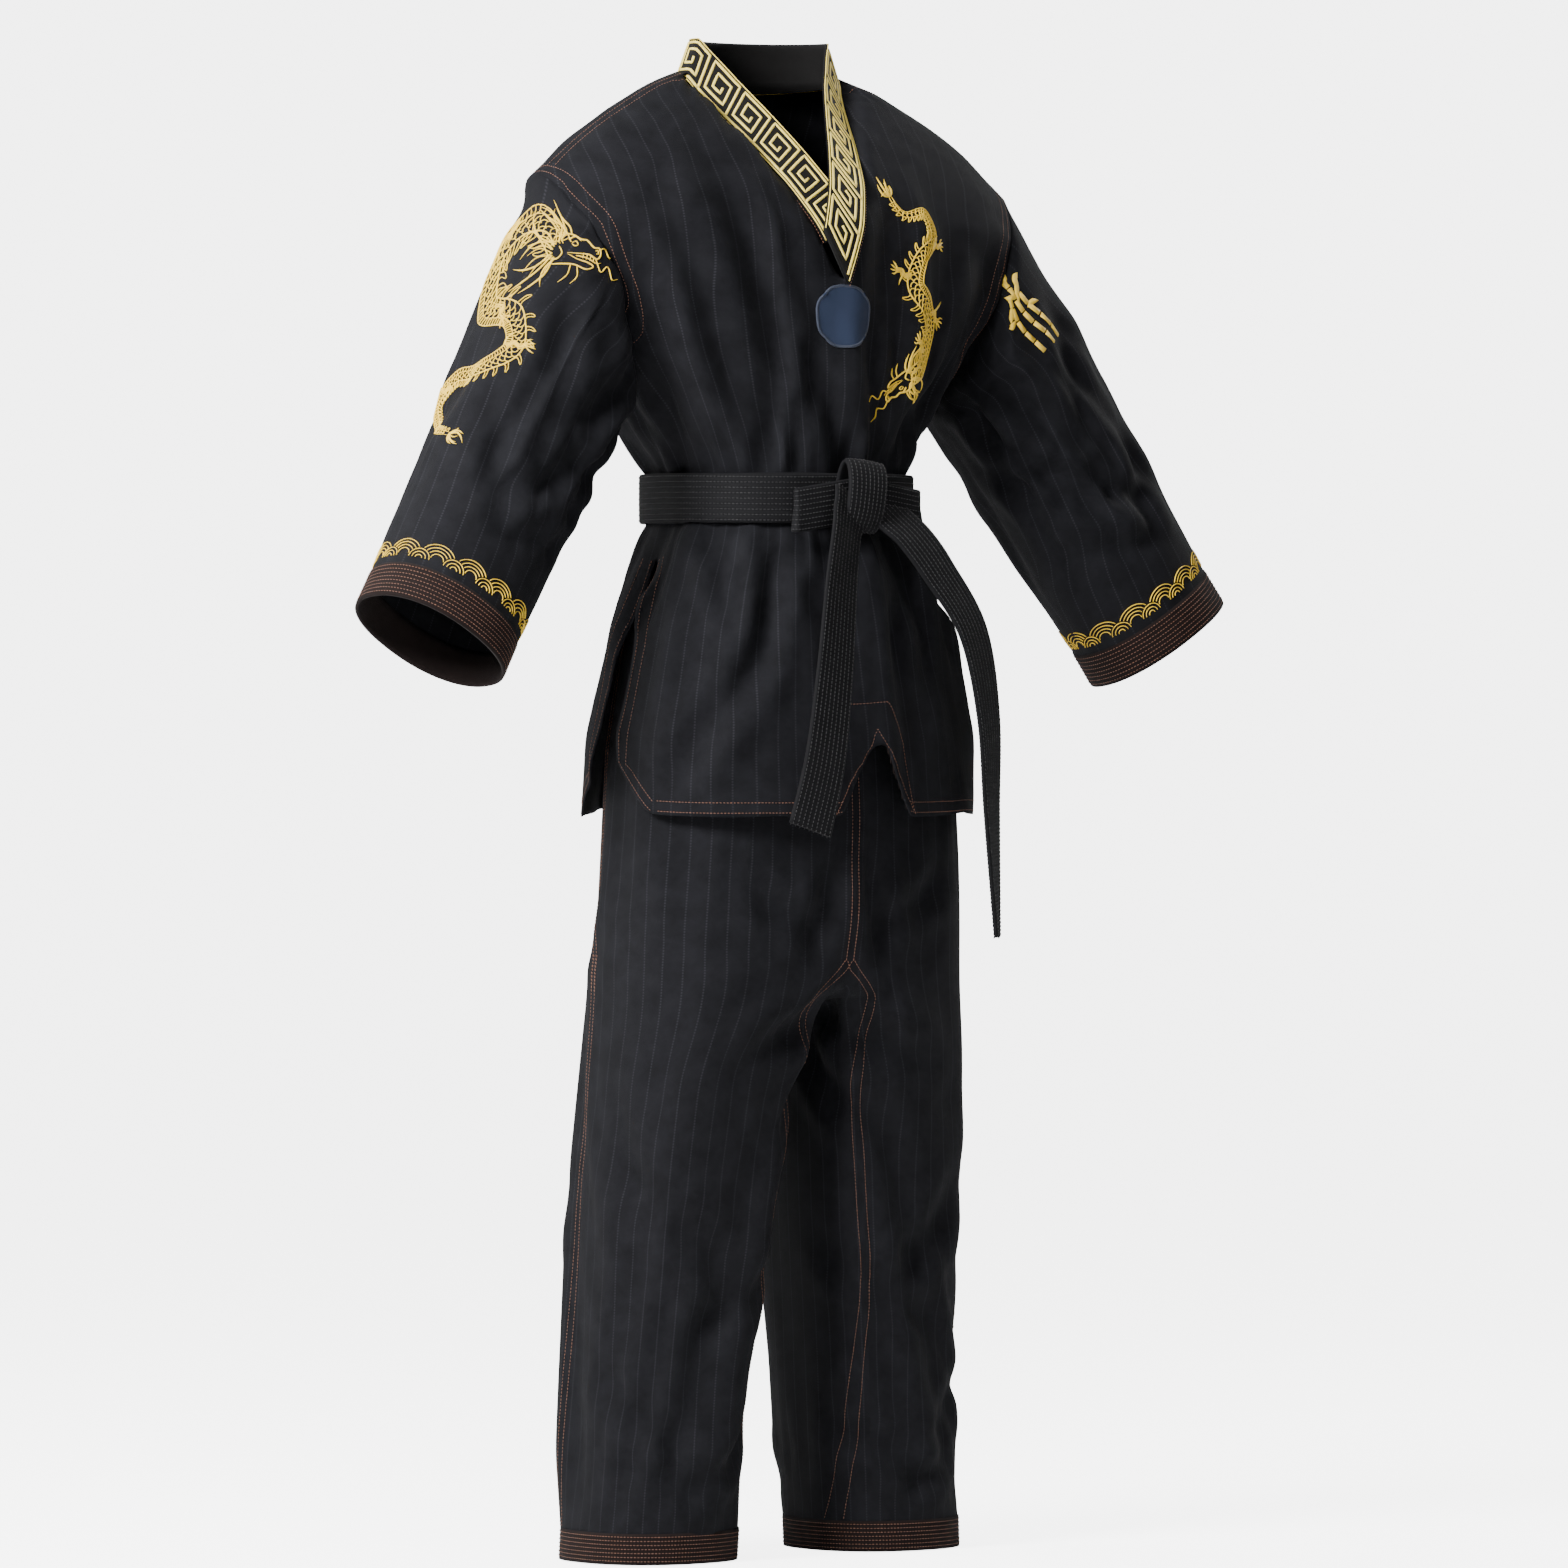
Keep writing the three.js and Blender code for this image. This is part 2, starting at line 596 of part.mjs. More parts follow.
for (const { name, sign } of SIDES) {
  const ring = (z, x, half, deep, y) => levelRing(z, half, deep, sign * x, y, 2.3);
  const top = gussetTop - GUSSET.thick - SEAM_GAP;
  const softEnd = [103, 88, 98, 9];
  add(
    `${name}_thigh`,
    clothTube([ring(top, LEG_X, 91, 112, 3), ring(-495, 100, 90, 105, 6), ring(LEG_SOFT_END_Z, ...softEnd)], TROUSER_WALL, ROUND),
    cloth,
  );
  const bandTop = TROUSER_HEM_Z + HEM_BAND;
  const calf = [128, 78, 79, 24];
  add(
    `${name}_leg`,
    clothTube(
      [ring(LEG_SOFT_END_Z - SEAM_GAP, ...softEnd), ring(-645, 111, 87, 91, 14), ring(-800, 121, 81, 83, 20), ring(bandTop + SEAM_GAP, ...calf)],
      TROUSER_WALL,
      ROUND,
    ),
    cloth,
  );
  add(
    `${name}_leg_hem_band`,
    clothTube([ring(bandTop, 128, 78.4, 79.4, 24), ring(TROUSER_HEM_Z, 129.5, 78, 78.5, 24.5)], TROUSER_WALL + 0.8, ROUND),
    stitchedBand,
  );
}

export default uniform;
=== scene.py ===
"""A martial arts uniform as it hangs on a wearer who is not there.

The jacket, its sleeves and the trousers are cut from parametric surfaces, hung by cloth simulation over a plain
body form and then given their thickness. The collar, the belt, the embroidery and the stitching are laid on the
hung cloth. Everything is in metres, +Z up, with the wearer facing -Y and their left side at +X.
"""

import logging
import math
from dataclasses import dataclass, field
from enum import Enum
from typing import Callable, Iterable, Sequence

import bmesh
import bpy
import numpy as np
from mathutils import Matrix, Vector
from mathutils.bvhtree import BVHTree
from mathutils.interpolate import poly_3d_calc


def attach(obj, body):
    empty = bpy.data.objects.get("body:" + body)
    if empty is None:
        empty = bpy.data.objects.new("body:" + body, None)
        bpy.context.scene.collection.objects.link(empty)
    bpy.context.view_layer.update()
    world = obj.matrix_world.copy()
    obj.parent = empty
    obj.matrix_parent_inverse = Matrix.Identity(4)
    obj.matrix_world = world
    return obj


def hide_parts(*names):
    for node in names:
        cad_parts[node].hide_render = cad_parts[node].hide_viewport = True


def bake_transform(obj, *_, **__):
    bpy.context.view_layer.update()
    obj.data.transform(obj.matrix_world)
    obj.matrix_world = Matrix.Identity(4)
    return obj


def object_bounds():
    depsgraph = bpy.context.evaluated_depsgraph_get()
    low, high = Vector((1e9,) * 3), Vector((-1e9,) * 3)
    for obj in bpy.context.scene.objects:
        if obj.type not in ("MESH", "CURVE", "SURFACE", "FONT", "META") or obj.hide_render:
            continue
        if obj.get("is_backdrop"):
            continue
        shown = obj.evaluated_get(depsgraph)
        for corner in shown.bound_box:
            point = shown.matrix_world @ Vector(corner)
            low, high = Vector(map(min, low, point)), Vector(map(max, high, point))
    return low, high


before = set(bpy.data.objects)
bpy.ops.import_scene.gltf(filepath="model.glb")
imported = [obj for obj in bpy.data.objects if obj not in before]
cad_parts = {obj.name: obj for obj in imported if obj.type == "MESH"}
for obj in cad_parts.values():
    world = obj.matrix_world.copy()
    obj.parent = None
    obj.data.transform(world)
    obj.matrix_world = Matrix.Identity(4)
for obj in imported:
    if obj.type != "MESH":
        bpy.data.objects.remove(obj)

CAD_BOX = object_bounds()
log = logging.getLogger("uniform")

SEED = 11
CLOTH_UV = "cloth"
FACING = "facing"
POWER = 2.4  # of the body's superelliptic sections, between an ellipse, 2, and a rectangle

Array = np.ndarray
Place = Callable[[float, float], tuple[Vector, Vector]]


class Side(Enum):
    """The wearer's right is -X and their left +X."""

    RIGHT = -1
    LEFT = 1

    @property
    def label(self) -> str:
        """The side's name as the CAD nodes spell it."""
        return self.name.lower()


# ---------------------------------------------------------------- finishes


def new_group(name: str, inputs: dict[str, float | str], outputs: dict[str, str]) -> bpy.types.NodeTree:
    """Starts a shader node group.

    Args:
        name: The group's name.
        inputs: Each input's name with its default value, or "vector" for a vector.
        outputs: Each output's name with "value" or "color".

    Returns:
        The group, with its input and output nodes named "in" and "out".
    """
    group = bpy.data.node_groups.new(name, "ShaderNodeTree")
    for key, default in inputs.items():
        kind = "NodeSocketVector" if default == "vector" else "NodeSocketFloat"
        socket = group.interface.new_socket(key, in_out="INPUT", socket_type=kind)
        if kind == "NodeSocketFloat":
            socket.default_value = default
    for key, kind in outputs.items():
        socket_type = "NodeSocketColor" if kind == "color" else "NodeSocketFloat"
        group.interface.new_socket(key, in_out="OUTPUT", socket_type=socket_type)
    group.nodes.new("NodeGroupInput").name = "in"
    group.nodes.new("NodeGroupOutput").name = "out"
    return group


class Wiring:
    """Short ways to add and join nodes in one tree."""

    def __init__(self, tree: bpy.types.NodeTree) -> None:
        """Keeps the tree that the nodes go in."""
        self.tree = tree

    def node(self, kind: str, settings: dict[str, object] | None = None, **inputs: object) -> bpy.types.Node:
        """Adds a node.

        Args:
            kind: The node's type.
            settings: Its properties.
            **inputs: Its inputs by name, an underscore for a space: a socket is linked and a value is set.

        Returns:
            The node.
        """
        made = self.tree.nodes.new(kind)
        for key, value in (settings or {}).items():
            setattr(made, key, value)
        for key, value in inputs.items():
            self.feed(made.inputs[key.replace("_", " ")], value)
        return made

    def feed(self, socket: bpy.types.NodeSocket, value: object) -> None:
        """Links a socket to an input, or sets the input's value."""
        if isinstance(value, bpy.types.NodeSocket):
            self.tree.links.new(value, socket)
        else:
            socket.default_value = value

    def math(self, operation: str, *values: object) -> bpy.types.NodeSocket:
        """Adds a Math node and returns its result."""
        made = self.tree.nodes.new("ShaderNodeMath")
        made.operation = operation
        for socket, value in zip(made.inputs, values):
            self.feed(socket, value)
        return made.outputs[0]

    def split(self, vector: bpy.types.NodeSocket) -> tuple[bpy.types.NodeSocket, bpy.types.NodeSocket]:
        """Returns a vector's first two parts."""
        parts = self.node("ShaderNodeSeparateXYZ", Vector=vector)
        return parts.outputs[0], parts.outputs[1]


def weave_group() -> bpy.types.NodeTree:
    """A plain weave: threads that pass over and under each other, as a height and an uneven tone."""
    group = new_group("weave", {"Vector": "vector", "Threads": 1500.0}, {"Height": "value", "Tone": "value"})
    wire = Wiring(group)
    source, out = group.nodes["in"], group.nodes["out"]
    across, along = wire.split(source.outputs["Vector"])
    turns = wire.math("MULTIPLY", source.outputs["Threads"], math.pi)
    warp = wire.math("ABSOLUTE", wire.math("SINE", wire.math("MULTIPLY", across, turns)))
    weft = wire.math("ABSOLUTE", wire.math("SINE", wire.math("MULTIPLY", along, turns)))
    wire.feed(out.inputs["Height"], wire.math("MULTIPLY", warp, weft))
    slub = wire.node("ShaderNodeTexNoise", Vector=source.outputs["Vector"], Scale=38.0, Detail=5.0, Roughness=0.6)
    wire.feed(out.inputs["Tone"], slub.outputs["Fac"])
    return group


def pinstripe_group() -> bpy.types.NodeTree:
    """Thin dotted stripes along the cloth's length, as a mask."""
    inputs = {"Vector": "vector", "Pitch": 0.020, "Width": 0.0012, "Dot": 0.0026}
    group = new_group("pinstripe", inputs, {"Mask": "value"})
    wire = Wiring(group)
    source, out = group.nodes["in"], group.nodes["out"]
    across, along = wire.split(source.outputs["Vector"])
    pitch = source.outputs["Pitch"]
    to_stripe = wire.math("PINGPONG", across, wire.math("MULTIPLY", pitch, 0.5))
    width = source.outputs["Width"]
    line = wire.math("SUBTRACT", 1.0, wire.math("DIVIDE", to_stripe, width))
    line = wire.math("MAXIMUM", line, 0.0)
    turn = wire.math("DIVIDE", wire.math("MULTIPLY", along, 2 * math.pi), source.outputs["Dot"])
    dots = wire.math("MULTIPLY_ADD", wire.math("SINE", turn), 0.5, 0.5)
    wire.feed(out.inputs["Mask"], wire.math("MULTIPLY", line, dots))
    return group


def twist_group() -> bpy.types.NodeTree:
    """Fine strands laid across a line of thread, as a height."""
    group = new_group("twist", {"Vector": "vector", "Strand": 0.00045}, {"Height": "value", "Tone": "value"})
    wire = Wiring(group)
    source, out = group.nodes["in"], group.nodes["out"]
    along, across = wire.split(source.outputs["Vector"])
    slant = wire.math("ADD", along, wire.math("MULTIPLY", across, 0.35))
    turn = wire.math("DIVIDE", wire.math("MULTIPLY", slant, math.pi), source.outputs["Strand"])
    wire.feed(out.inputs["Height"], wire.math("ABSOLUTE", wire.math("SINE", turn)))
    patch = wire.node("ShaderNodeTexNoise", Vector=source.outputs["Vector"], Scale=260.0, Detail=3.0)
    wire.feed(out.inputs["Tone"], patch.outputs["Fac"])
    return group


@dataclass(frozen=True)
class Finish:
    """What a material is made from. Colours are linear.

    Attributes:
        name: The material's name.
        color: The cloth's or the thread's own colour.
        accent: The colour of the stripe, of the rubbed places or of the thread's bright side.
        roughness: The shader's roughness.
        sheen: How much the fuzz on the surface catches light.
        metallic: The shader's metallic.
        stripe: How strongly the pinstripe shows.
        threads: Threads in a metre of the weave.
        strand: The thickness of one strand, for a thread finish.
        relief: The bump's distance.
        sewn: Whether the finish is on short stitches, which have no cloth map of their own.
    """

    name: str
    color: tuple[float, float, float]
    accent: tuple[float, float, float]
    roughness: float = 0.85
    sheen: float = 0.2
    metallic: float = 0.0
    stripe: float = 0.0
    threads: float = 1500.0
    strand: float = 0.0
    relief: float = 0.00025
    sewn: bool = False

    def build(self, groups: dict[str, bpy.types.NodeTree]) -> bpy.types.Material:
        """Makes the material.

        Args:
            groups: The shared node groups by name.

        Returns:
            The material.
        """
        material = bpy.data.materials.new(self.name)
        material.use_nodes = True
        wire = Wiring(material.node_tree)
        shader = material.node_tree.nodes["Principled BSDF"]
        shader.inputs["Sheen Weight"].default_value = self.sheen
        shader.inputs["Sheen Roughness"].default_value = 0.45
        shader.inputs["Metallic"].default_value = self.metallic
        shader.inputs["Specular IOR Level"].default_value = 0.5 if self.strand else 0.14
        if self.sewn:
            uv = wire.node("ShaderNodeTexCoord").outputs["Object"]
        else:
            uv = wire.node("ShaderNodeUVMap", {"uv_map": CLOTH_UV}).outputs["UV"]
        pattern = wire.node("ShaderNodeGroup", {"node_tree": groups["twist" if self.strand else "weave"]}, Vector=uv)
        if self.strand:
            pattern.inputs["Strand"].default_value = self.strand
        else:
            pattern.inputs["Threads"].default_value = self.threads
        mask = self._mask(wire, groups, uv, pattern)
        blend = wire.node("ShaderNodeMix", {"data_type": "RGBA"})
        wire.feed(blend.inputs["Factor"], mask)
        wire.feed(blend.inputs["A"], (*self.color, 1.0))
        wire.feed(blend.inputs["B"], (*self.accent, 1.0))
        wire.feed(shader.inputs["Base Color"], blend.outputs["Result"])
        rough = wire.math("MULTIPLY_ADD", pattern.outputs["Tone"], 0.12, self.roughness - 0.06)
        wire.feed(shader.inputs["Roughness"], rough)
        bump = wire.node("ShaderNodeBump", Strength=0.55, Distance=self.relief, Height=pattern.outputs["Height"])
        wire.feed(shader.inputs["Normal"], bump.outputs["Normal"])
        return material

    def _mask(
        self,
        wire: Wiring,
        groups: dict[str, bpy.types.NodeTree],
        uv: bpy.types.NodeSocket,
        pattern: bpy.types.Node,
    ) -> bpy.types.NodeSocket:
        """Where the accent colour shows: on a stripe, or in the uneven patches of the cloth or thread."""
        uneven = wire.math("MULTIPLY_ADD", pattern.outputs["Tone"], 1.6, -0.5)
        uneven = wire.math("MULTIPLY", uneven, 0.5 if self.strand else 0.18)
        if not self.stripe:
            return wire.math("MAXIMUM", uneven, 0.0)
        stripes = wire.node("ShaderNodeGroup", {"node_tree": groups["pinstripe"]}, Vector=uv)
        return wire.math("ADD", wire.math("MULTIPLY", stripes.outputs["Mask"], self.stripe), uneven)


COTTON = Finish("pinstripe_cotton", (0.0030, 0.0031, 0.0045), (0.046, 0.046, 0.056), 0.80, 0.01, stripe=0.36)
LINING = Finish("stitched_cotton", (0.0085, 0.0052, 0.0048), (0.026, 0.014, 0.011), 0.84, 0.02)
BELT_CLOTH = Finish("belt_cotton", (0.0042, 0.0042, 0.0050), (0.018, 0.018, 0.021), 0.74, 0.02, threads=1100.0)
BAND_CLOTH = Finish("collar_cotton", (0.0045, 0.0042, 0.0042), (0.016, 0.014, 0.014), 0.70, 0.02, threads=2000.0)
LABEL_CLOTH = Finish("label_twill", (0.0165, 0.0240, 0.0480), (0.030, 0.042, 0.080), 0.80, 0.05, threads=1300.0)
LABEL_EDGE = Finish("label_border", (0.0120, 0.0180, 0.0370), (0.024, 0.034, 0.064), 0.60, 0.05, strand=0.0005)
ELASTIC = Finish("elastic_webbing", (0.52, 0.50, 0.46), (0.66, 0.64, 0.60), 0.80, 0.10, threads=700.0, relief=0.0004)
GOLD = Finish("gold_thread", (0.90, 0.56, 0.020), (1.0, 0.84, 0.16), 0.42, 0.04, 0.05, strand=0.00045)
PALE_GOLD = Finish("pale_gold_thread", (0.90, 0.68, 0.11), (1.0, 0.90, 0.36), 0.42, 0.04, 0.05, strand=0.0005)
COPPER = Finish("copper_thread", (0.150, 0.058, 0.030), (0.300, 0.125, 0.065), 0.55, 0.10, strand=0.0004, sewn=True)
BLACK_THREAD = Finish("black_thread", (0.0060, 0.0060, 0.0070), (0.020, 0.020, 0.023), 0.46, 0.02, strand=0.0004, sewn=True)


class Wardrobe:
    """The finished materials by their finish."""

    def __init__(self) -> None:
        """Builds the shared node groups once."""
        self.groups = {"weave": weave_group(), "pinstripe": pinstripe_group(), "twist": twist_group()}
        self.made: dict[str, bpy.types.Material] = {}

    def of(self, finish: Finish) -> bpy.types.Material:
        """The material of a finish, built the first time it is asked for."""
        if finish.name not in self.made:
            self.made[finish.name] = finish.build(self.groups)
        return self.made[finish.name]


# ---------------------------------------------------------------- shapes


class Levels:
    """Sizes that are given at a few heights and run smoothly between them."""

    def __init__(self, rows: Sequence[Sequence[float]], blur: float = 0.016) -> None:
        """Smooths the table.

        Args:
            rows: Height first, then the sizes there.
            blur: How far each size is softened up and down.
        """
        table = np.array(sorted(rows), dtype=float)
        self.height = np.linspace(table[0, 0], table[-1, 0], 600)
        reach = max(1, round(blur / (self.height[1] - self.height[0])))
        kernel = np.hanning(2 * reach + 3)[1:-1]
        kernel /= kernel.sum()
        self.sizes = []
        for column in table[:, 1:].T:
            line = np.pad(np.interp(self.height, table[:, 0], column), reach, mode="reflect", reflect_type="odd")
            self.sizes.append(np.convolve(line, kernel, "valid"))

    def at(self, height: float) -> list[float]:
        """The sizes at one height."""
        return [float(np.interp(height, self.height, size)) for size in self.sizes]


def oval(half: float, front: float, back: float, power: float, shares: Array) -> Array:
    """Points round a superellipse, evenly along its edge.

    Args:
        half: Half its width, along x.
        front: Its reach towards -y.
        back: Its reach towards +y.
        power: 2 for an ellipse, more for squarer.
        shares: Shares of the way round, from the middle of the back past -x.

    Returns:
        An array of (x, y).
    """
    angle = np.linspace(0.0, 2 * np.pi, 1441) + np.pi / 2
    cosine, sine = np.cos(angle), np.sin(angle)
    x = half * np.sign(cosine) * np.abs(cosine) ** (2 / power)
    y = np.where(sine > 0, back, front) * np.sign(sine) * np.abs(sine) ** (2 / power)
    length = np.concatenate([[0.0], np.cumsum(np.hypot(np.diff(x), np.diff(y)))])
    target = np.asarray(shares) * length[-1]
    return np.column_stack([np.interp(target, length, x), np.interp(target, length, y)])


def ease(value: Array | float) -> Array | float:
    """0 below 0, 1 above 1 and a smooth step between."""
    share = np.clip(value, 0.0, 1.0)
    return share * share * (3 - 2 * share)


def link(name: str, mesh: bpy.types.Mesh) -> bpy.types.Object:
    """Puts a mesh in the scene as an object."""
    made = bpy.data.objects.new(name, mesh)
    bpy.context.scene.collection.objects.link(made)
    return made


def mesh_object(name: str, points: Array, faces: Sequence[Sequence[int]], uvs: Sequence[Sequence[float]] | None = None):
    """Makes an object from points and faces.

    Args:
        name: The object's name.
        points: One row for each vertex.
        faces: The vertices of each face.
        uvs: One (u, v) for each corner of each face in turn.

    Returns:
        The object.
    """
    mesh = bpy.data.meshes.new(name)
    mesh.from_pydata(np.asarray(points).tolist(), [], [tuple(map(int, face)) for face in faces])
    if uvs is not None:
        layer = mesh.uv_layers.new(name=CLOTH_UV)
        layer.data.foreach_set("uv", np.asarray(uvs, dtype=np.float32).ravel())
    mesh.shade_smooth()
    return link(name, mesh)


def grid_object(name: str, points: Array, width: float, rises: Array, round_trip: bool = True) -> bpy.types.Object:
    """Makes an object from a grid of points, with its own cloth coordinates in metres.

    Args:
        name: The object's name.
        points: rows by columns by 3, columns going round so that the faces point out.
        width: The cloth's width from the first column round to the first again, or to the last.
        rises: Each row's place along the cloth's length.
        round_trip: Whether the last column joins the first.

    Returns:
        The object.
    """
    rows, columns = points.shape[:2]
    spans = columns if round_trip else columns - 1
    faces, uvs = [], []
    for row in range(rows - 1):
        for column in range(spans):
            beyond = (column + 1) % columns
            faces.append((row * columns + column, row * columns + beyond,
                          (row + 1) * columns + beyond, (row + 1) * columns + column))
            left, right = width * column / spans, width * (column + 1) / spans
            uvs += [(left, rises[row]), (right, rises[row]), (right, rises[row + 1]), (left, rises[row + 1])]
    return mesh_object(name, points.reshape(-1, 3), faces, uvs)


def coordinates(obj: bpy.types.Object) -> Array:
    """An object's vertices as an array."""
    flat = np.empty(len(obj.data.vertices) * 3)
    obj.data.vertices.foreach_get("co", flat)
    return flat.reshape(-1, 3)


def set_coordinates(obj: bpy.types.Object, points: Array) -> None:
    """Moves an object's vertices."""
    obj.data.vertices.foreach_set("co", np.ascontiguousarray(points, dtype=np.float32).ravel())
    obj.data.update()


def baked(obj: bpy.types.Object) -> bpy.types.Object:
    """Turns an object with modifiers into a plain mesh, in place."""
    graph = bpy.context.evaluated_depsgraph_get()
    plain = bpy.data.meshes.new_from_object(obj.evaluated_get(graph), depsgraph=graph)
    obj.modifiers.clear()
    if obj.data.shape_keys:
        obj.shape_key_clear()
    obj.data = plain
    plain.name = obj.name
    return obj


def thickened(obj: bpy.types.Object, thickness: float, levels: int = 1, offset: float = -1.0) -> bpy.types.Object:
    """Smooths a cloth surface and gives it its wall.

    Args:
        obj: The open surface.
        thickness: The wall, in metres.
        levels: Subdivision levels.
        offset: -1 to grow inwards and 1 to grow outwards.

    Returns:
        The same object as a plain mesh.
    """
    if levels:
        rounding = obj.modifiers.new("round", "SUBSURF")
        rounding.levels = rounding.render_levels = levels
        rounding.boundary_smooth = "PRESERVE_CORNERS"
    wall = obj.modifiers.new("wall", "SOLIDIFY")
    wall.thickness = thickness
    wall.offset = offset
    return baked(obj)


def dress(obj: bpy.types.Object, material: bpy.types.Material) -> bpy.types.Object:
    """Gives an object one material and smooth faces."""
    obj.data.materials.clear()
    obj.data.materials.append(material)
    obj.data.shade_smooth()
    return obj


class Surface:
    """A finished piece of cloth that other pieces are laid on."""

    def __init__(self, *objects: bpy.types.Object) -> None:
        """Builds the search tree from the objects' plain meshes."""
        points: list[Vector] = []
        faces: list[list[int]] = []
        for obj in objects:
            start = len(points)
            points += [vertex.co.copy() for vertex in obj.data.vertices]
            faces += [[start + index for index in face.vertices] for face in obj.data.polygons]
        self.tree = BVHTree.FromPolygons(points, faces)

    def hit(self, origin: Vector, direction: Vector) -> tuple[Vector, Vector]:
        """The first place that a ray meets, with the normal that faces back along the ray."""
        place, normal, _, _ = self.tree.ray_cast(origin, direction.normalized())
        if place is None:
            place, normal, _, _ = self.tree.find_nearest(origin)
        return place, -normal if normal.dot(direction) > 0 else normal

    def outside(self, near: Vector, normal: Vector, reach: float = 0.03) -> tuple[Vector, Vector]:
        """The cloth's outer face beside a point, looked for from outside along the normal."""
        place, found, _, _ = self.tree.ray_cast(near + normal * reach, -normal, 2 * reach)
        if place is None:
            place, found, _, _ = self.tree.find_nearest(near + normal * 0.004)
            found = normal
        return place, found if found.dot(normal) > 0 else -found


# ---------------------------------------------------------------- cutting


def split_along(mesh: bmesh.types.BMesh, distance: Callable[[Vector], float], within: Callable[[Vector], bool]) -> None:
    """Lays a line of edges where a distance is zero, first moving the vertices that are almost there.

    Args:
        mesh: The mesh to cut.
        distance: A signed distance from the cut.
        within: Which part of the mesh may change.
    """
    value: dict[bmesh.types.BMVert, float] = {}
    for vertex in mesh.verts:
        if within(vertex.co):
            value[vertex] = distance(vertex.co)
    small = 1e-5
    for vertex, away in value.items():
        if abs(away) > 0.012:
            continue
        reach = 0.3 * min(edge.calc_length() for edge in vertex.link_edges)
        if abs(away) < reach:
            slope = Vector([(distance(vertex.co + axis * small) - away) / small for axis in
                            (Vector((1, 0, 0)), Vector((0, 1, 0)), Vector((0, 0, 1)))])
            slope -= vertex.normal * slope.dot(vertex.normal)
            if slope.length > 0.2:
                vertex.co -= slope * (away / slope.length_squared)
                value[vertex] = 0.0
    crossed = [edge for edge in mesh.edges
               if edge.verts[0] in value and edge.verts[1] in value and value[edge.verts[0]] * value[edge.verts[1]] < 0]
    faces = set()
    for edge in crossed:
        first, second = edge.verts
        share = abs(value[first]) / (abs(value[first]) + abs(value[second]))
        _, made = bmesh.utils.edge_split(edge, first, share)
        value[made] = 0.0
    for vertex, away in value.items():
        if away == 0.0:
            faces.update(vertex.link_faces)
    for face in faces:
        marks = [vertex for vertex in face.verts if value.get(vertex) == 0.0]
        signs = {math.copysign(1, value[vertex]) for vertex in face.verts if value.get(vertex, 0.0) != 0.0}
        if len(signs) < 2 or len(marks) < 2:
            continue
        first, second = marks[0], marks[-1]
        if not any(edge for edge in first.link_edges if edge.other_vert(first) is second):
            bmesh.utils.face_split(face, first, second)


def drop_faces(mesh: bmesh.types.BMesh, inside: Callable[[Vector], bool]) -> None:
    """Removes the faces whose middle is inside, and what only they held."""
    gone = [face for face in mesh.faces if inside(face.calc_center_median())]
    bmesh.ops.delete(mesh, geom=gone, context="FACES")


def edit(obj: bpy.types.Object, *steps: Callable[[bmesh.types.BMesh], None]) -> None:
    """Runs mesh steps on an object."""
    mesh = bmesh.new()
    mesh.from_mesh(obj.data)
    for step in steps:
        step(mesh)
        mesh.normal_update()
    mesh.to_mesh(obj.data)
    mesh.free()
    obj.data.update()


def boundary_loops(obj: bpy.types.Object) -> list[list[int]]:
    """The open edges of a surface as ordered rings of vertex numbers."""
    mesh = bmesh.new()
    mesh.from_mesh(obj.data)
    mesh.verts.ensure_lookup_table()
    follow: dict[int, list[int]] = {}
    for edge in mesh.edges:
        if edge.is_boundary:
            first, second = (vertex.index for vertex in edge.verts)
            follow.setdefault(first, []).append(second)
            follow.setdefault(second, []).append(first)
    mesh.free()
    rings, seen = [], set()
    for start in follow:
        if start in seen:
            continue
        ring, last, here = [], -1, start
        while here not in seen:
            seen.add(here)
            ring.append(here)
            onward = [other for other in follow[here] if other != last and other not in seen]
            last, here = here, onward[0] if onward else start
        rings.append(ring)
    return rings


# ---------------------------------------------------------------- hanging cloth


@dataclass(frozen=True)
class Hang:
    """How one piece of cloth is hung.

    Attributes:
        pins: How firmly each vertex is held, from 0 to 1.
        pattern: The shape that the cloth was cut to, vertex for vertex, so that spare cloth can fold.
        form: What the cloth falls against.
        cap: How far a vertex may move from where it starts.
    """

    cloth: bpy.types.Object
    pins: Array
    pattern: Array
    form: bpy.types.Object
    cap: float = 0.03


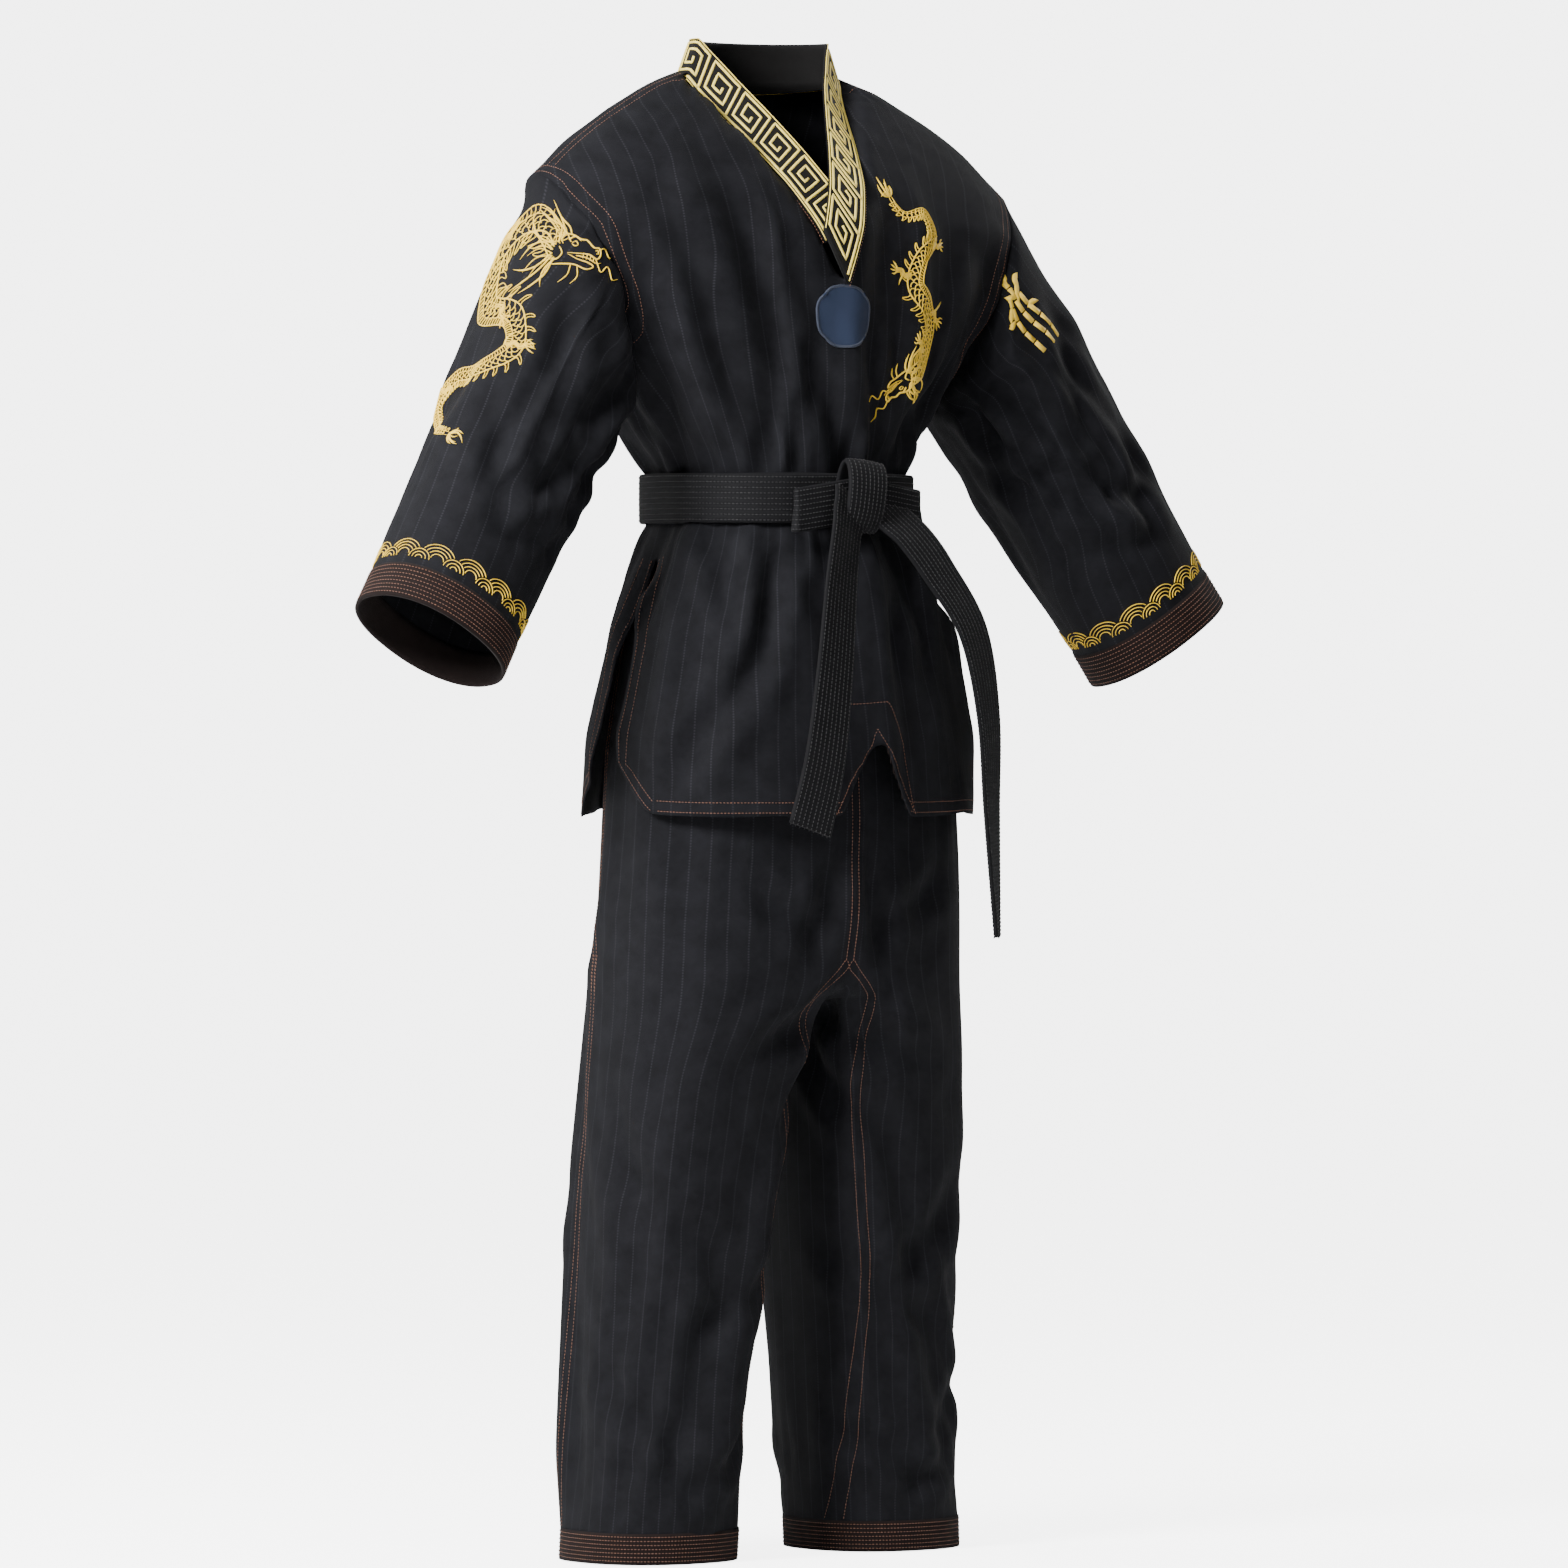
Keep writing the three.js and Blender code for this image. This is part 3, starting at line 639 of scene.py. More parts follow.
@dataclass
class Draping:
    """Hangs every piece of cloth together in one run."""

    frames: int = 34
    quality: int = 6
    mass: float = 0.08
    stretch: float = 40.0
    shear: float = 12.0
    bend: float = 0.8
    hung: list[Hang] = field(default_factory=list)

    def add(self, hang: Hang) -> Hang:
        """Readies one piece: its pattern, its pins and what it collides with."""
        obj = hang.cloth
        self.hung.append(hang)
        obj.shape_key_add(name="Basis")
        key = obj.shape_key_add(name="pattern")
        key.data.foreach_set("co", np.ascontiguousarray(hang.pattern, dtype=np.float32).ravel())
        group = obj.vertex_groups.new(name="held")
        for index in np.flatnonzero(hang.pins > 0.01):
            group.add([int(index)], float(hang.pins[index]), "REPLACE")
        cloth = obj.modifiers.new("cloth", "CLOTH")
        given = cloth.settings
        given.quality = self.quality
        given.mass = self.mass
        given.tension_stiffness = given.compression_stiffness = self.stretch
        given.shear_stiffness = self.shear
        given.bending_stiffness = self.bend
        given.tension_damping = given.compression_damping = 5.0
        given.air_damping = 1.5
        given.vertex_group_mass = group.name
        given.pin_stiffness = 2.0
        given.rest_shape_key = key
        cloth.point_cache.frame_end = self.frames
        touch = cloth.collision_settings
        touch.use_self_collision = False
        touch.distance_min = 0.0025
        touch.collision_quality = 2
        if not hang.form.users_collection or "form_of_" + obj.name not in bpy.data.collections:
            folder = bpy.data.collections.new("form_of_" + obj.name)
            bpy.context.scene.collection.children.link(folder)
            folder.objects.link(hang.form)
            hang.form.modifiers.new("form", "COLLISION")
            hang.form.collision.thickness_outer = 0.002
            hang.form.collision.cloth_friction = 6.0
            touch.collection = folder
        return hang

    def run(self) -> None:
        """Steps the simulation, keeps where the cloth came to rest and clears everything it used."""
        scene = bpy.context.scene
        for step in range(1, self.frames + 1):
            scene.frame_set(step)
        graph = bpy.context.evaluated_depsgraph_get()
        rested = [coordinates(hang.cloth.evaluated_get(graph)) for hang in self.hung]
        for hang, points in zip(self.hung, rested):
            obj = hang.cloth
            obj.modifiers.clear()
            obj.shape_key_clear()
            obj.vertex_groups.clear()
            start = coordinates(obj)
            moved = points - start
            length = np.linalg.norm(moved, axis=1, keepdims=True)
            limit = hang.cap * np.tanh(length / hang.cap)
            set_coordinates(obj, start + moved * np.where(length > 1e-9, limit / np.maximum(length, 1e-9), 0))
            relax(obj, 2, 0.35, hang.pins < 0.5)
        scene.frame_set(1)
        for hang in self.hung:
            if hang.form.name in bpy.data.objects:
                bpy.data.objects.remove(hang.form)
        for folder in [made for made in bpy.data.collections if made.name.startswith("form_of_")]:
            bpy.data.collections.remove(folder)


def relax(obj: bpy.types.Object, rounds: int, share: float, free: Array) -> None:
    """Evens out small kinks by moving free vertices towards the middle of their neighbours."""
    edges = np.empty(len(obj.data.edges) * 2, dtype=np.int64)
    obj.data.edges.foreach_get("vertices", edges)
    first, second = edges.reshape(-1, 2).T
    points = coordinates(obj)
    count = np.zeros(len(points))
    np.add.at(count, first, 1)
    np.add.at(count, second, 1)
    for _ in range(rounds):
        total = np.zeros_like(points)
        np.add.at(total, first, points[second])
        np.add.at(total, second, points[first])
        middle = total / np.maximum(count, 1)[:, None]
        points = np.where(free[:, None], points + (middle - points) * share, points)
    set_coordinates(obj, points)


class ClothMap:
    """Finds places on a cloth by its own flat coordinates, and the flat coordinates of places."""

    def __init__(self, obj: bpy.types.Object) -> None:
        """Reads the object's open surface with its cloth coordinates."""
        mesh = obj.data
        mesh.calc_loop_triangles()
        layer = mesh.uv_layers[CLOTH_UV].data
        self.points = [vertex.co.copy() for vertex in mesh.vertices]
        self.normals = [vertex.normal.copy() for vertex in mesh.vertices]
        self.corners = [tuple(triangle.vertices) for triangle in mesh.loop_triangles]
        self.flats = [tuple(layer[loop].uv.to_3d() for loop in triangle.loops) for triangle in mesh.loop_triangles]
        flat_points = [flat for triangle in self.flats for flat in triangle]
        flat_faces = [(3 * index, 3 * index + 1, 3 * index + 2) for index in range(len(self.flats))]
        self.flat_tree = BVHTree.FromPolygons(flat_points, flat_faces)
        self.tree = BVHTree.FromPolygons(self.points, self.corners)

    def locate(self, near: Vector) -> tuple[float, float]:
        """The flat coordinates of the place on the cloth that is nearest to a point."""
        place, _, face, _ = self.tree.find_nearest(near)
        weights = poly_3d_calc([self.points[index] for index in self.corners[face]], place)
        flat = sum((weight * corner for weight, corner in zip(weights, self.flats[face])), Vector((0, 0, 0)))
        return flat.x, flat.y

    def place(self, across: float, along: float) -> tuple[Vector, Vector]:
        """The place and its outward normal at some flat coordinates."""
        spot, _, face, _ = self.flat_tree.find_nearest(Vector((across, along, 0.0)))
        weights = poly_3d_calc(list(self.flats[face]), spot)
        corners = self.corners[face]
        place = sum((weight * self.points[index] for weight, index in zip(weights, corners)), Vector((0, 0, 0)))
        normal = sum((weight * self.normals[index] for weight, index in zip(weights, corners)), Vector((0, 0, 0)))
        return place, normal.normalized()


class Cloth:
    """One hung cloth: how it was drawn, how it came to rest, and the finished piece."""

    def __init__(self, obj: bpy.types.Object) -> None:
        """Keeps the drawn shape, which later work is placed by."""
        self.piece = obj
        self.drawn = ClothMap(obj)
        self.rested: ClothMap | None = None

    def round_off(self) -> None:
        """Rounds the hung surface and keeps it to lay other work on."""
        rounding = self.piece.modifiers.new("round", "SUBSURF")
        rounding.levels = rounding.render_levels = 1
        baked(self.piece)
        self.rested = ClothMap(self.piece)

    def finish(self, thickness: float) -> None:
        """Rounds the hung surface and gives it its wall."""
        self.round_off()
        thickened(self.piece, thickness, 0)

    def carry(self, near: Vector) -> tuple[Vector, Vector]:
        """Where a place on the drawn shape came to rest."""
        return self.rested.place(*self.drawn.locate(near))

    def sketch(self, near: Vector, turn: float = 0.0, flip: bool = False) -> Place:
        """A flat drawing area round a place on the cloth.

        Args:
            near: The middle, on the drawn shape.
            turn: How far the drawing is turned, anticlockwise, in radians.
            flip: Whether it is mirrored left to right.

        Returns:
            A function from the drawing's (across, up) to a place and normal on the cloth.
        """
        middle_across, middle_along = self.drawn.locate(near)
        cosine, sine, hand = math.cos(turn), math.sin(turn), -1.0 if flip else 1.0

        def place(across: float, up: float) -> tuple[Vector, Vector]:
            """Turns the drawing's own directions into the cloth's."""
            across *= hand
            return self.rested.place(middle_across + cosine * across - sine * up, middle_along + sine * across + cosine * up)

        return place


@dataclass(frozen=True)
class Crease:
    """A fold in hung cloth, between two places on its drawn shape.

    Attributes:
        start: Where it begins.
        end: Where it runs out.
        depth: How far the cloth sinks along it.
        width: Half the valley's width.
    """

    start: Sequence[float]
    end: Sequence[float]
    depth: float = 0.006
    width: float = 0.014


def press(hang: Hang, cloth: Cloth, creases: Sequence[Crease]) -> None:
    """Sinks creases into a hung cloth, raising it beside them, but not where it is held.

    Args:
        hang: How the cloth was hung.
        cloth: The cloth.
        creases: The folds.
    """
    obj, steps = cloth.piece, 16
    drawn = np.array([tuple(point) for point in cloth.drawn.points])
    facing = np.array([tuple(vertex.normal) for vertex in obj.data.vertices])
    push = np.zeros(len(drawn))
    for crease in creases:
        line = [cloth.drawn.tree.find_nearest(Vector(crease.start).lerp(Vector(crease.end), share))[0]
                for share in np.linspace(0, 1, steps)]
        route = np.array([tuple(point) for point in line])
        apart = drawn[:, None, :] - route[None]
        distance = np.linalg.norm(apart, axis=2)
        nearest = distance.argmin(axis=1)
        along = np.gradient(route, axis=0)[nearest]
        side = np.cross(along, facing)
        side /= np.maximum(np.linalg.norm(side, axis=1, keepdims=True), 1e-9)
        across = np.abs(np.sum(apart[np.arange(len(drawn)), nearest] * side, axis=1))
        beyond = np.maximum(distance.min(axis=1) ** 2 - across**2 - 0.00006, 0)
        strength = np.sin(np.pi * (0.06 + 0.88 * nearest / (steps - 1))) ** 0.7 * np.exp(-beyond / crease.width**2)
        valley = np.exp(-((across / crease.width) ** 1.7))
        ridge = 0.62 * np.exp(-(((across - 1.75 * crease.width) / (0.85 * crease.width)) ** 2))
        push += strength * crease.depth * (ridge - valley)
    free = 1 - ease((hang.pins - 0.1) / 0.8)
    set_coordinates(obj, coordinates(obj) + facing * (np.clip(push, -0.014, 0.009) * free)[:, None])


# ---------------------------------------------------------------- thread


def smooth_path(points: Sequence[Sequence[float]], step: float, closed: bool = False) -> Array:
    """An even curve through some points.

    Args:
        points: The points, each of any number of parts.
        step: The distance between the result's points.
        closed: Whether the last point runs on to the first.

    Returns:
        The curve's points.
    """
    rough = np.asarray(points, dtype=float)
    around = np.vstack([rough[-1:], rough, rough[:2]]) if closed else np.vstack([rough[:1], rough, rough[-1:]])
    pieces = []
    for before, start, end, after in zip(around, around[1:], around[2:], around[3:]):
        share = np.linspace(0, 1, 16, endpoint=False)[:, None]
        pieces.append(0.5 * (2 * start + (end - before) * share + (2 * before - 5 * start + 4 * end - after) * share**2
                             + (3 * start - before - 3 * end + after) * share**3))
    fine = np.vstack(pieces + ([rough[:1]] if closed else [rough[-1:]]))
    length = np.concatenate([[0.0], np.cumsum(np.linalg.norm(np.diff(fine, axis=0), axis=1))])
    count = max(3, round(length[-1] / step) + 1)
    marks = np.linspace(0, length[-1], count)
    return np.column_stack([np.interp(marks, length, column) for column in fine.T])


def straight_path(points: Sequence[Sequence[float]], step: float) -> Array:
    """Points along straight runs, with the corners kept."""
    runs = []
    rough = np.asarray(points, dtype=float)
    for start, end in zip(rough, rough[1:]):
        count = max(1, round(float(np.linalg.norm(end - start)) / step))
        runs.append(start + (end - start) * np.linspace(0, 1, count, endpoint=False)[:, None])
    return np.vstack(runs + [rough[-1:]])


class Thread:
    """Gathers raised lines of thread into one mesh."""

    SECTION = ((-1.0, -0.35), (-0.78, 0.62), (0.0, 1.0), (0.78, 0.62), (1.0, -0.35))

    def __init__(self, name: str) -> None:
        """Starts an empty piece of the given name."""
        self.name = name
        self.points: list[Vector] = []
        self.faces: list[tuple[int, ...]] = []
        self.uvs: list[tuple[float, float]] = []

    def line(
        self,
        places: Sequence[tuple[Vector, Vector]],
        width: float,
        height: float,
        closed: bool = False,
        taper: tuple[float, float] = (1.0, 1.0),
    ) -> None:
        """Adds one raised line.

        Args:
            places: Each point with the cloth's normal there.
            width: The line's width.
            height: How far it stands up.
            closed: Whether it joins its own start.
            taper: The width's share at the start and at the end, the middle being full.
        """
        count, sides = len(places), len(self.SECTION)
        if count < 2:
            return
        base, run = len(self.points), 0.0
        for index, (place, normal) in enumerate(places):
            before = places[index - 1][0] if index or closed else place
            after = places[(index + 1) % count][0] if index < count - 1 or closed else place
            side = (after - before).cross(normal).normalized()
            share = index / (count - 1)
            full = min(1.0, taper[0] + 3 * share, taper[1] + 3 * (1 - share)) if not closed else 1.0
            for across, up in self.SECTION:
                self.points.append(place + side * (across * width / 2 * full) + normal * (up * height * (0.4 + 0.6 * full)))
        spans = count if closed else count - 1
        for index in range(spans):
            onward = (index + 1) % count
            length = (places[onward][0] - places[index][0]).length
            for corner in range(sides):
                beside = (corner + 1) % sides
                self.faces.append((base + index * sides + corner, base + index * sides + beside,
                                   base + onward * sides + beside, base + onward * sides + corner))
                low, high = self.SECTION[corner][0] * width / 2, self.SECTION[beside][0] * width / 2
                self.uvs += [(run, low), (run, high), (run + length, high), (run + length, low)]
            run += length
        if not closed:
            last = base + (count - 1) * sides
            self.faces.append(tuple(range(base + sides - 1, base - 1, -1)))
            self.faces.append(tuple(range(last, last + sides)))
            self.uvs += [(0.0, 0.0)] * sides + [(run, 0.0)] * sides

    def draw(self, place: Place, path: Iterable[Sequence[float]], width: float, height: float, **more: object) -> None:
        """Adds a line that is given in a drawing's own coordinates."""
        self.line([place(float(across), float(up)) for across, up in path], width, height, **more)

    def made(self, material: bpy.types.Material) -> bpy.types.Object:
        """Makes the piece, with its faces turned outwards."""
        obj = mesh_object(self.name, np.array([tuple(point) for point in self.points]), self.faces, self.uvs)
        edit(obj, lambda mesh: bmesh.ops.recalc_face_normals(mesh, faces=mesh.faces))
        return dress(obj, material)


def stitch_tree() -> bpy.types.NodeTree:
    """Lays one short raised stitch after another along every path of a mesh.

    The mesh's points carry the direction away from the cloth in the attribute named by FACING.

    Returns:
        The node tree, with the inputs Pitch, Length, Thickness and Material.
    """
    tree = bpy.data.node_groups.new("stitches", "GeometryNodeTree")
    face = tree.interface
    face.new_socket("Paths", in_out="INPUT", socket_type="NodeSocketGeometry")
    for key, default in {"Pitch": 0.0032, "Length": 0.0024, "Thickness": 0.0006}.items():
        face.new_socket(key, in_out="INPUT", socket_type="NodeSocketFloat").default_value = default
    face.new_socket("Material", in_out="INPUT", socket_type="NodeSocketMaterial")
    face.new_socket("Stitches", in_out="OUTPUT", socket_type="NodeSocketGeometry")
    wire = Wiring(tree)
    source = wire.node("NodeGroupInput")
    curve = wire.node("GeometryNodeMeshToCurve", Mesh=source.outputs["Paths"])
    dots = wire.node("GeometryNodeCurveToPoints", {"mode": "LENGTH"}, Curve=curve.outputs[0], Length=source.outputs["Pitch"])
    facing = wire.node("GeometryNodeInputNamedAttribute", {"data_type": "FLOAT_VECTOR"}, Name=FACING)
    along = wire.node("FunctionNodeAlignRotationToVector", {"axis": "X"}, Vector=dots.outputs["Tangent"])
    upright = wire.node("FunctionNodeAlignRotationToVector", {"axis": "Z", "pivot_axis": "X"},
                        Rotation=along.outputs[0], Vector=facing.outputs["Attribute"])
    uneven = wire.node("FunctionNodeRandomValue", {"data_type": "FLOAT_VECTOR"}, Seed=SEED)
    uneven.inputs[0].default_value = (0.88, 0.85, 0.85)
    uneven.inputs[1].default_value = (1.08, 1.1, 1.15)
    size = wire.node("ShaderNodeCombineXYZ", X=wire.math("MULTIPLY", source.outputs["Length"], 0.5),
                     Y=wire.math("MULTIPLY", source.outputs["Thickness"], 0.62),
                     Z=wire.math("MULTIPLY", source.outputs["Thickness"], 0.6))
    bead = wire.node("GeometryNodeMeshIcoSphere", Radius=1.0, Subdivisions=1)
    stitch = wire.node("GeometryNodeTransform", Geometry=bead.outputs["Mesh"], Scale=size.outputs[0])
    laid = wire.node("GeometryNodeInstanceOnPoints", Points=dots.outputs["Points"], Instance=stitch.outputs[0],
                     Rotation=upright.outputs[0], Scale=uneven.outputs[0])
    real = wire.node("GeometryNodeRealizeInstances", Geometry=laid.outputs[0])
    smooth = wire.node("GeometryNodeSetShadeSmooth", Geometry=real.outputs[0])
    done = wire.node("GeometryNodeSetMaterial", Geometry=smooth.outputs[0], Material=source.outputs["Material"])
    wire.node("NodeGroupOutput", Stitches=done.outputs[0])
    return tree


@dataclass
class Stitcher:
    """Sews rows of stitches with one shared node tree.

    Attributes:
        tree: The stitch node tree.
        lift: How far a stitch's middle stands off the cloth.
    """

    tree: bpy.types.NodeTree = field(default_factory=stitch_tree)
    lift: float = 0.0001

    def sew(
        self,
        name: str,
        rows: Sequence[Sequence[tuple[Vector, Vector]]],
        material: bpy.types.Material,
        pitch: float = 0.0032,
        length: float = 0.0025,
        thickness: float = 0.00065,
        closed: bool = False,
    ) -> bpy.types.Object:
        """Sews rows as one piece.

        Args:
            name: The piece's name.
            rows: Each row's points with the cloth's normals.
            material: The thread.
            pitch: From one stitch to the next.
            length: One stitch's length.
            thickness: One stitch's thickness.
            closed: Whether each row joins its own start.

        Returns:
            The stitches as a plain mesh.
        """
        points, edges, facing = [], [], []
        for row in rows:
            start = len(points)
            points += [place + normal * self.lift for place, normal in row]
            facing += [normal for _, normal in row]
            edges += [(start + index, start + index + 1) for index in range(len(row) - 1)]
            if closed:
                edges.append((start + len(row) - 1, start))
        mesh = bpy.data.meshes.new(name)
        mesh.from_pydata(points, edges, [])
        attribute = mesh.attributes.new(FACING, "FLOAT_VECTOR", "POINT")
        attribute.data.foreach_set("vector", [part for normal in facing for part in normal])
        obj = link(name, mesh)
        sewing = obj.modifiers.new("sewing", "NODES")
        sewing.node_group = self.tree
        wanted = {"Pitch": pitch, "Length": length, "Thickness": thickness, "Material": material}
        for item in self.tree.interface.items_tree:
            if item.in_out == "INPUT" and item.name in wanted:
                sewing[item.identifier] = wanted[item.name]
        return baked(obj)


# ---------------------------------------------------------------- straps


@dataclass
class Strap:
    """A flat band with rounded edges that follows a route.

    Attributes:
        name: The piece's name.
        route: The middle of the band, point by point.
        sideways: The direction of its width at each point.
        width: From edge to edge.
        thickness: From face to face.
        closed: Whether the route joins its own start.
        crown: How far the middle of the band stands proud of its edges.
    """

    name: str
    route: Sequence[Vector]
    sideways: Sequence[Vector]
    width: float
    thickness: float
    closed: bool = False
    crown: float = 0.0
    across: int = 10

    def spot(self, index: float, across: float) -> tuple[Vector, Vector]:
        """A place on the band's middle layer with its normal, across being from -1 to 1."""
        count = len(self.route)
        step = int(index) % count
        before = self.route[step - 1] if step or self.closed else self.route[step]
        after = self.route[(step + 1) % count] if step < count - 1 or self.closed else self.route[step]
        tangent = (after - before).normalized()
        side = self.sideways[step] - tangent * self.sideways[step].dot(tangent)
        side.normalize()
        normal = tangent.cross(side)
        bow = self.crown * (1 - across * across)
        return self.route[step] + side * (across * self.width / 2) + normal * bow, normal

    def place(self, index: float, across: float) -> tuple[Vector, Vector]:
        """A place on the outer face, across being from -1 to 1."""
        middle, normal = self.spot(index, across)
        return middle + normal * (self.thickness / 2), normal

    def rows(self, count: int, outer: bool = True, margin: float = 0.88) -> list[list[tuple[Vector, Vector]]]:
        """Lines for stitching, evenly across one face of the band."""
        rows = []
        for across in np.linspace(-margin, margin, count):
            row = []
            for index in range(len(self.route)):
                place, normal = self.place(index, float(across))
                row.append((place, normal) if outer else (place - normal * self.thickness, -normal))
            rows.append(row)
        return rows

    def made(self, material: bpy.types.Material) -> bpy.types.Object:
        """Makes the band as a closed mesh."""
        steps = np.linspace(-1, 1, self.across)
        round_in = 0.5 * self.thickness / (self.width / 2)
        outline = [(float(step) * (1 - round_in), 1.0) for step in steps]
        outline += [(1.0, 0.45), (1.0, -0.45)]
        outline += [(float(step) * (1 - round_in), -1.0) for step in steps[::-1]]
        outline += [(-1.0, -0.45), (-1.0, 0.45)]
        points, sides, count = [], len(outline), len(self.route)
        middles = [self.spot(index, 0.0)[0] for index in range(count)]
        lengths = lengths_along(np.array([tuple(middle) for middle in middles + middles[:1]]))
        for index in range(count):
            for across, up in outline:
                middle, normal = self.spot(index, across)
                points.append(middle + normal * (up * self.thickness / 2))
        faces, uvs = [], []
        for index in range(count if self.closed else count - 1):
            onward = (index + 1) % count
            for corner in range(sides):
                beside = (corner + 1) % sides
                faces.append((index * sides + corner, index * sides + beside,
                              onward * sides + beside, onward * sides + corner))
                low, high = outline[corner][0] * self.width / 2, outline[beside][0] * self.width / 2
                uvs += [(low, lengths[index]), (high, lengths[index]), (high, lengths[index + 1]), (low, lengths[index + 1])]
        if not self.closed:
            for start, turned in ((0, True), ((count - 1) * sides, False)):
                ring = [start + corner for corner in range(sides)]
                faces.append(tuple(reversed(ring)) if turned else tuple(ring))
                flat = [(across * self.width / 2, up * self.thickness / 2) for across, up in outline]
                uvs += list(reversed(flat)) if turned else flat
        obj = mesh_object(self.name, np.array([tuple(point) for point in points]), faces, uvs)
        edit(obj, lambda mesh: bmesh.ops.recalc_face_normals(mesh, faces=mesh.faces))
        return dress(obj, material)


# ---------------------------------------------------------------- the garment


class Folds:
    """Soft ridges of several widths that run along a tube of cloth."""

    def __init__(self, counts: Sequence[int], rng: np.random.Generator) -> None:
        """Chooses where each width's ridges lie."""
        self.counts = counts
        self.phases = rng.uniform(0, 2 * np.pi, len(counts))
        self.leans = rng.uniform(-1.0, 1.0, len(counts))

    def at(self, shares: Array, along: float) -> Array:
        """How far the cloth is pushed out, about -1 to 1, at shares of the way round and some way along."""
        waves = [np.sin(2 * np.pi * count * shares + phase + lean * 5.0 * along)
                 for count, phase, lean in zip(self.counts, self.phases, self.leans)]
        return np.sum(waves, axis=0) / len(waves) ** 0.5


def lengths_along(points: Array) -> Array:
    """The distance from the first point to each along a path."""
    return np.concatenate([[0.0], np.cumsum(np.linalg.norm(np.diff(points, axis=0), axis=1))])


def tube(name: str, rings: Sequence[Array]) -> bpy.types.Object:
    """A plain closed form from rings, for cloth to fall against."""
    count = len(rings[0])
    faces = [(row * count + column, row * count + (column + 1) % count,
              (row + 1) * count + (column + 1) % count, (row + 1) * count + column)
             for row in range(len(rings) - 1) for column in range(count)]
    faces += [tuple(range(count - 1, -1, -1)), tuple(range((len(rings) - 1) * count, len(rings) * count))]
    return mesh_object(name, np.vstack(rings), faces)


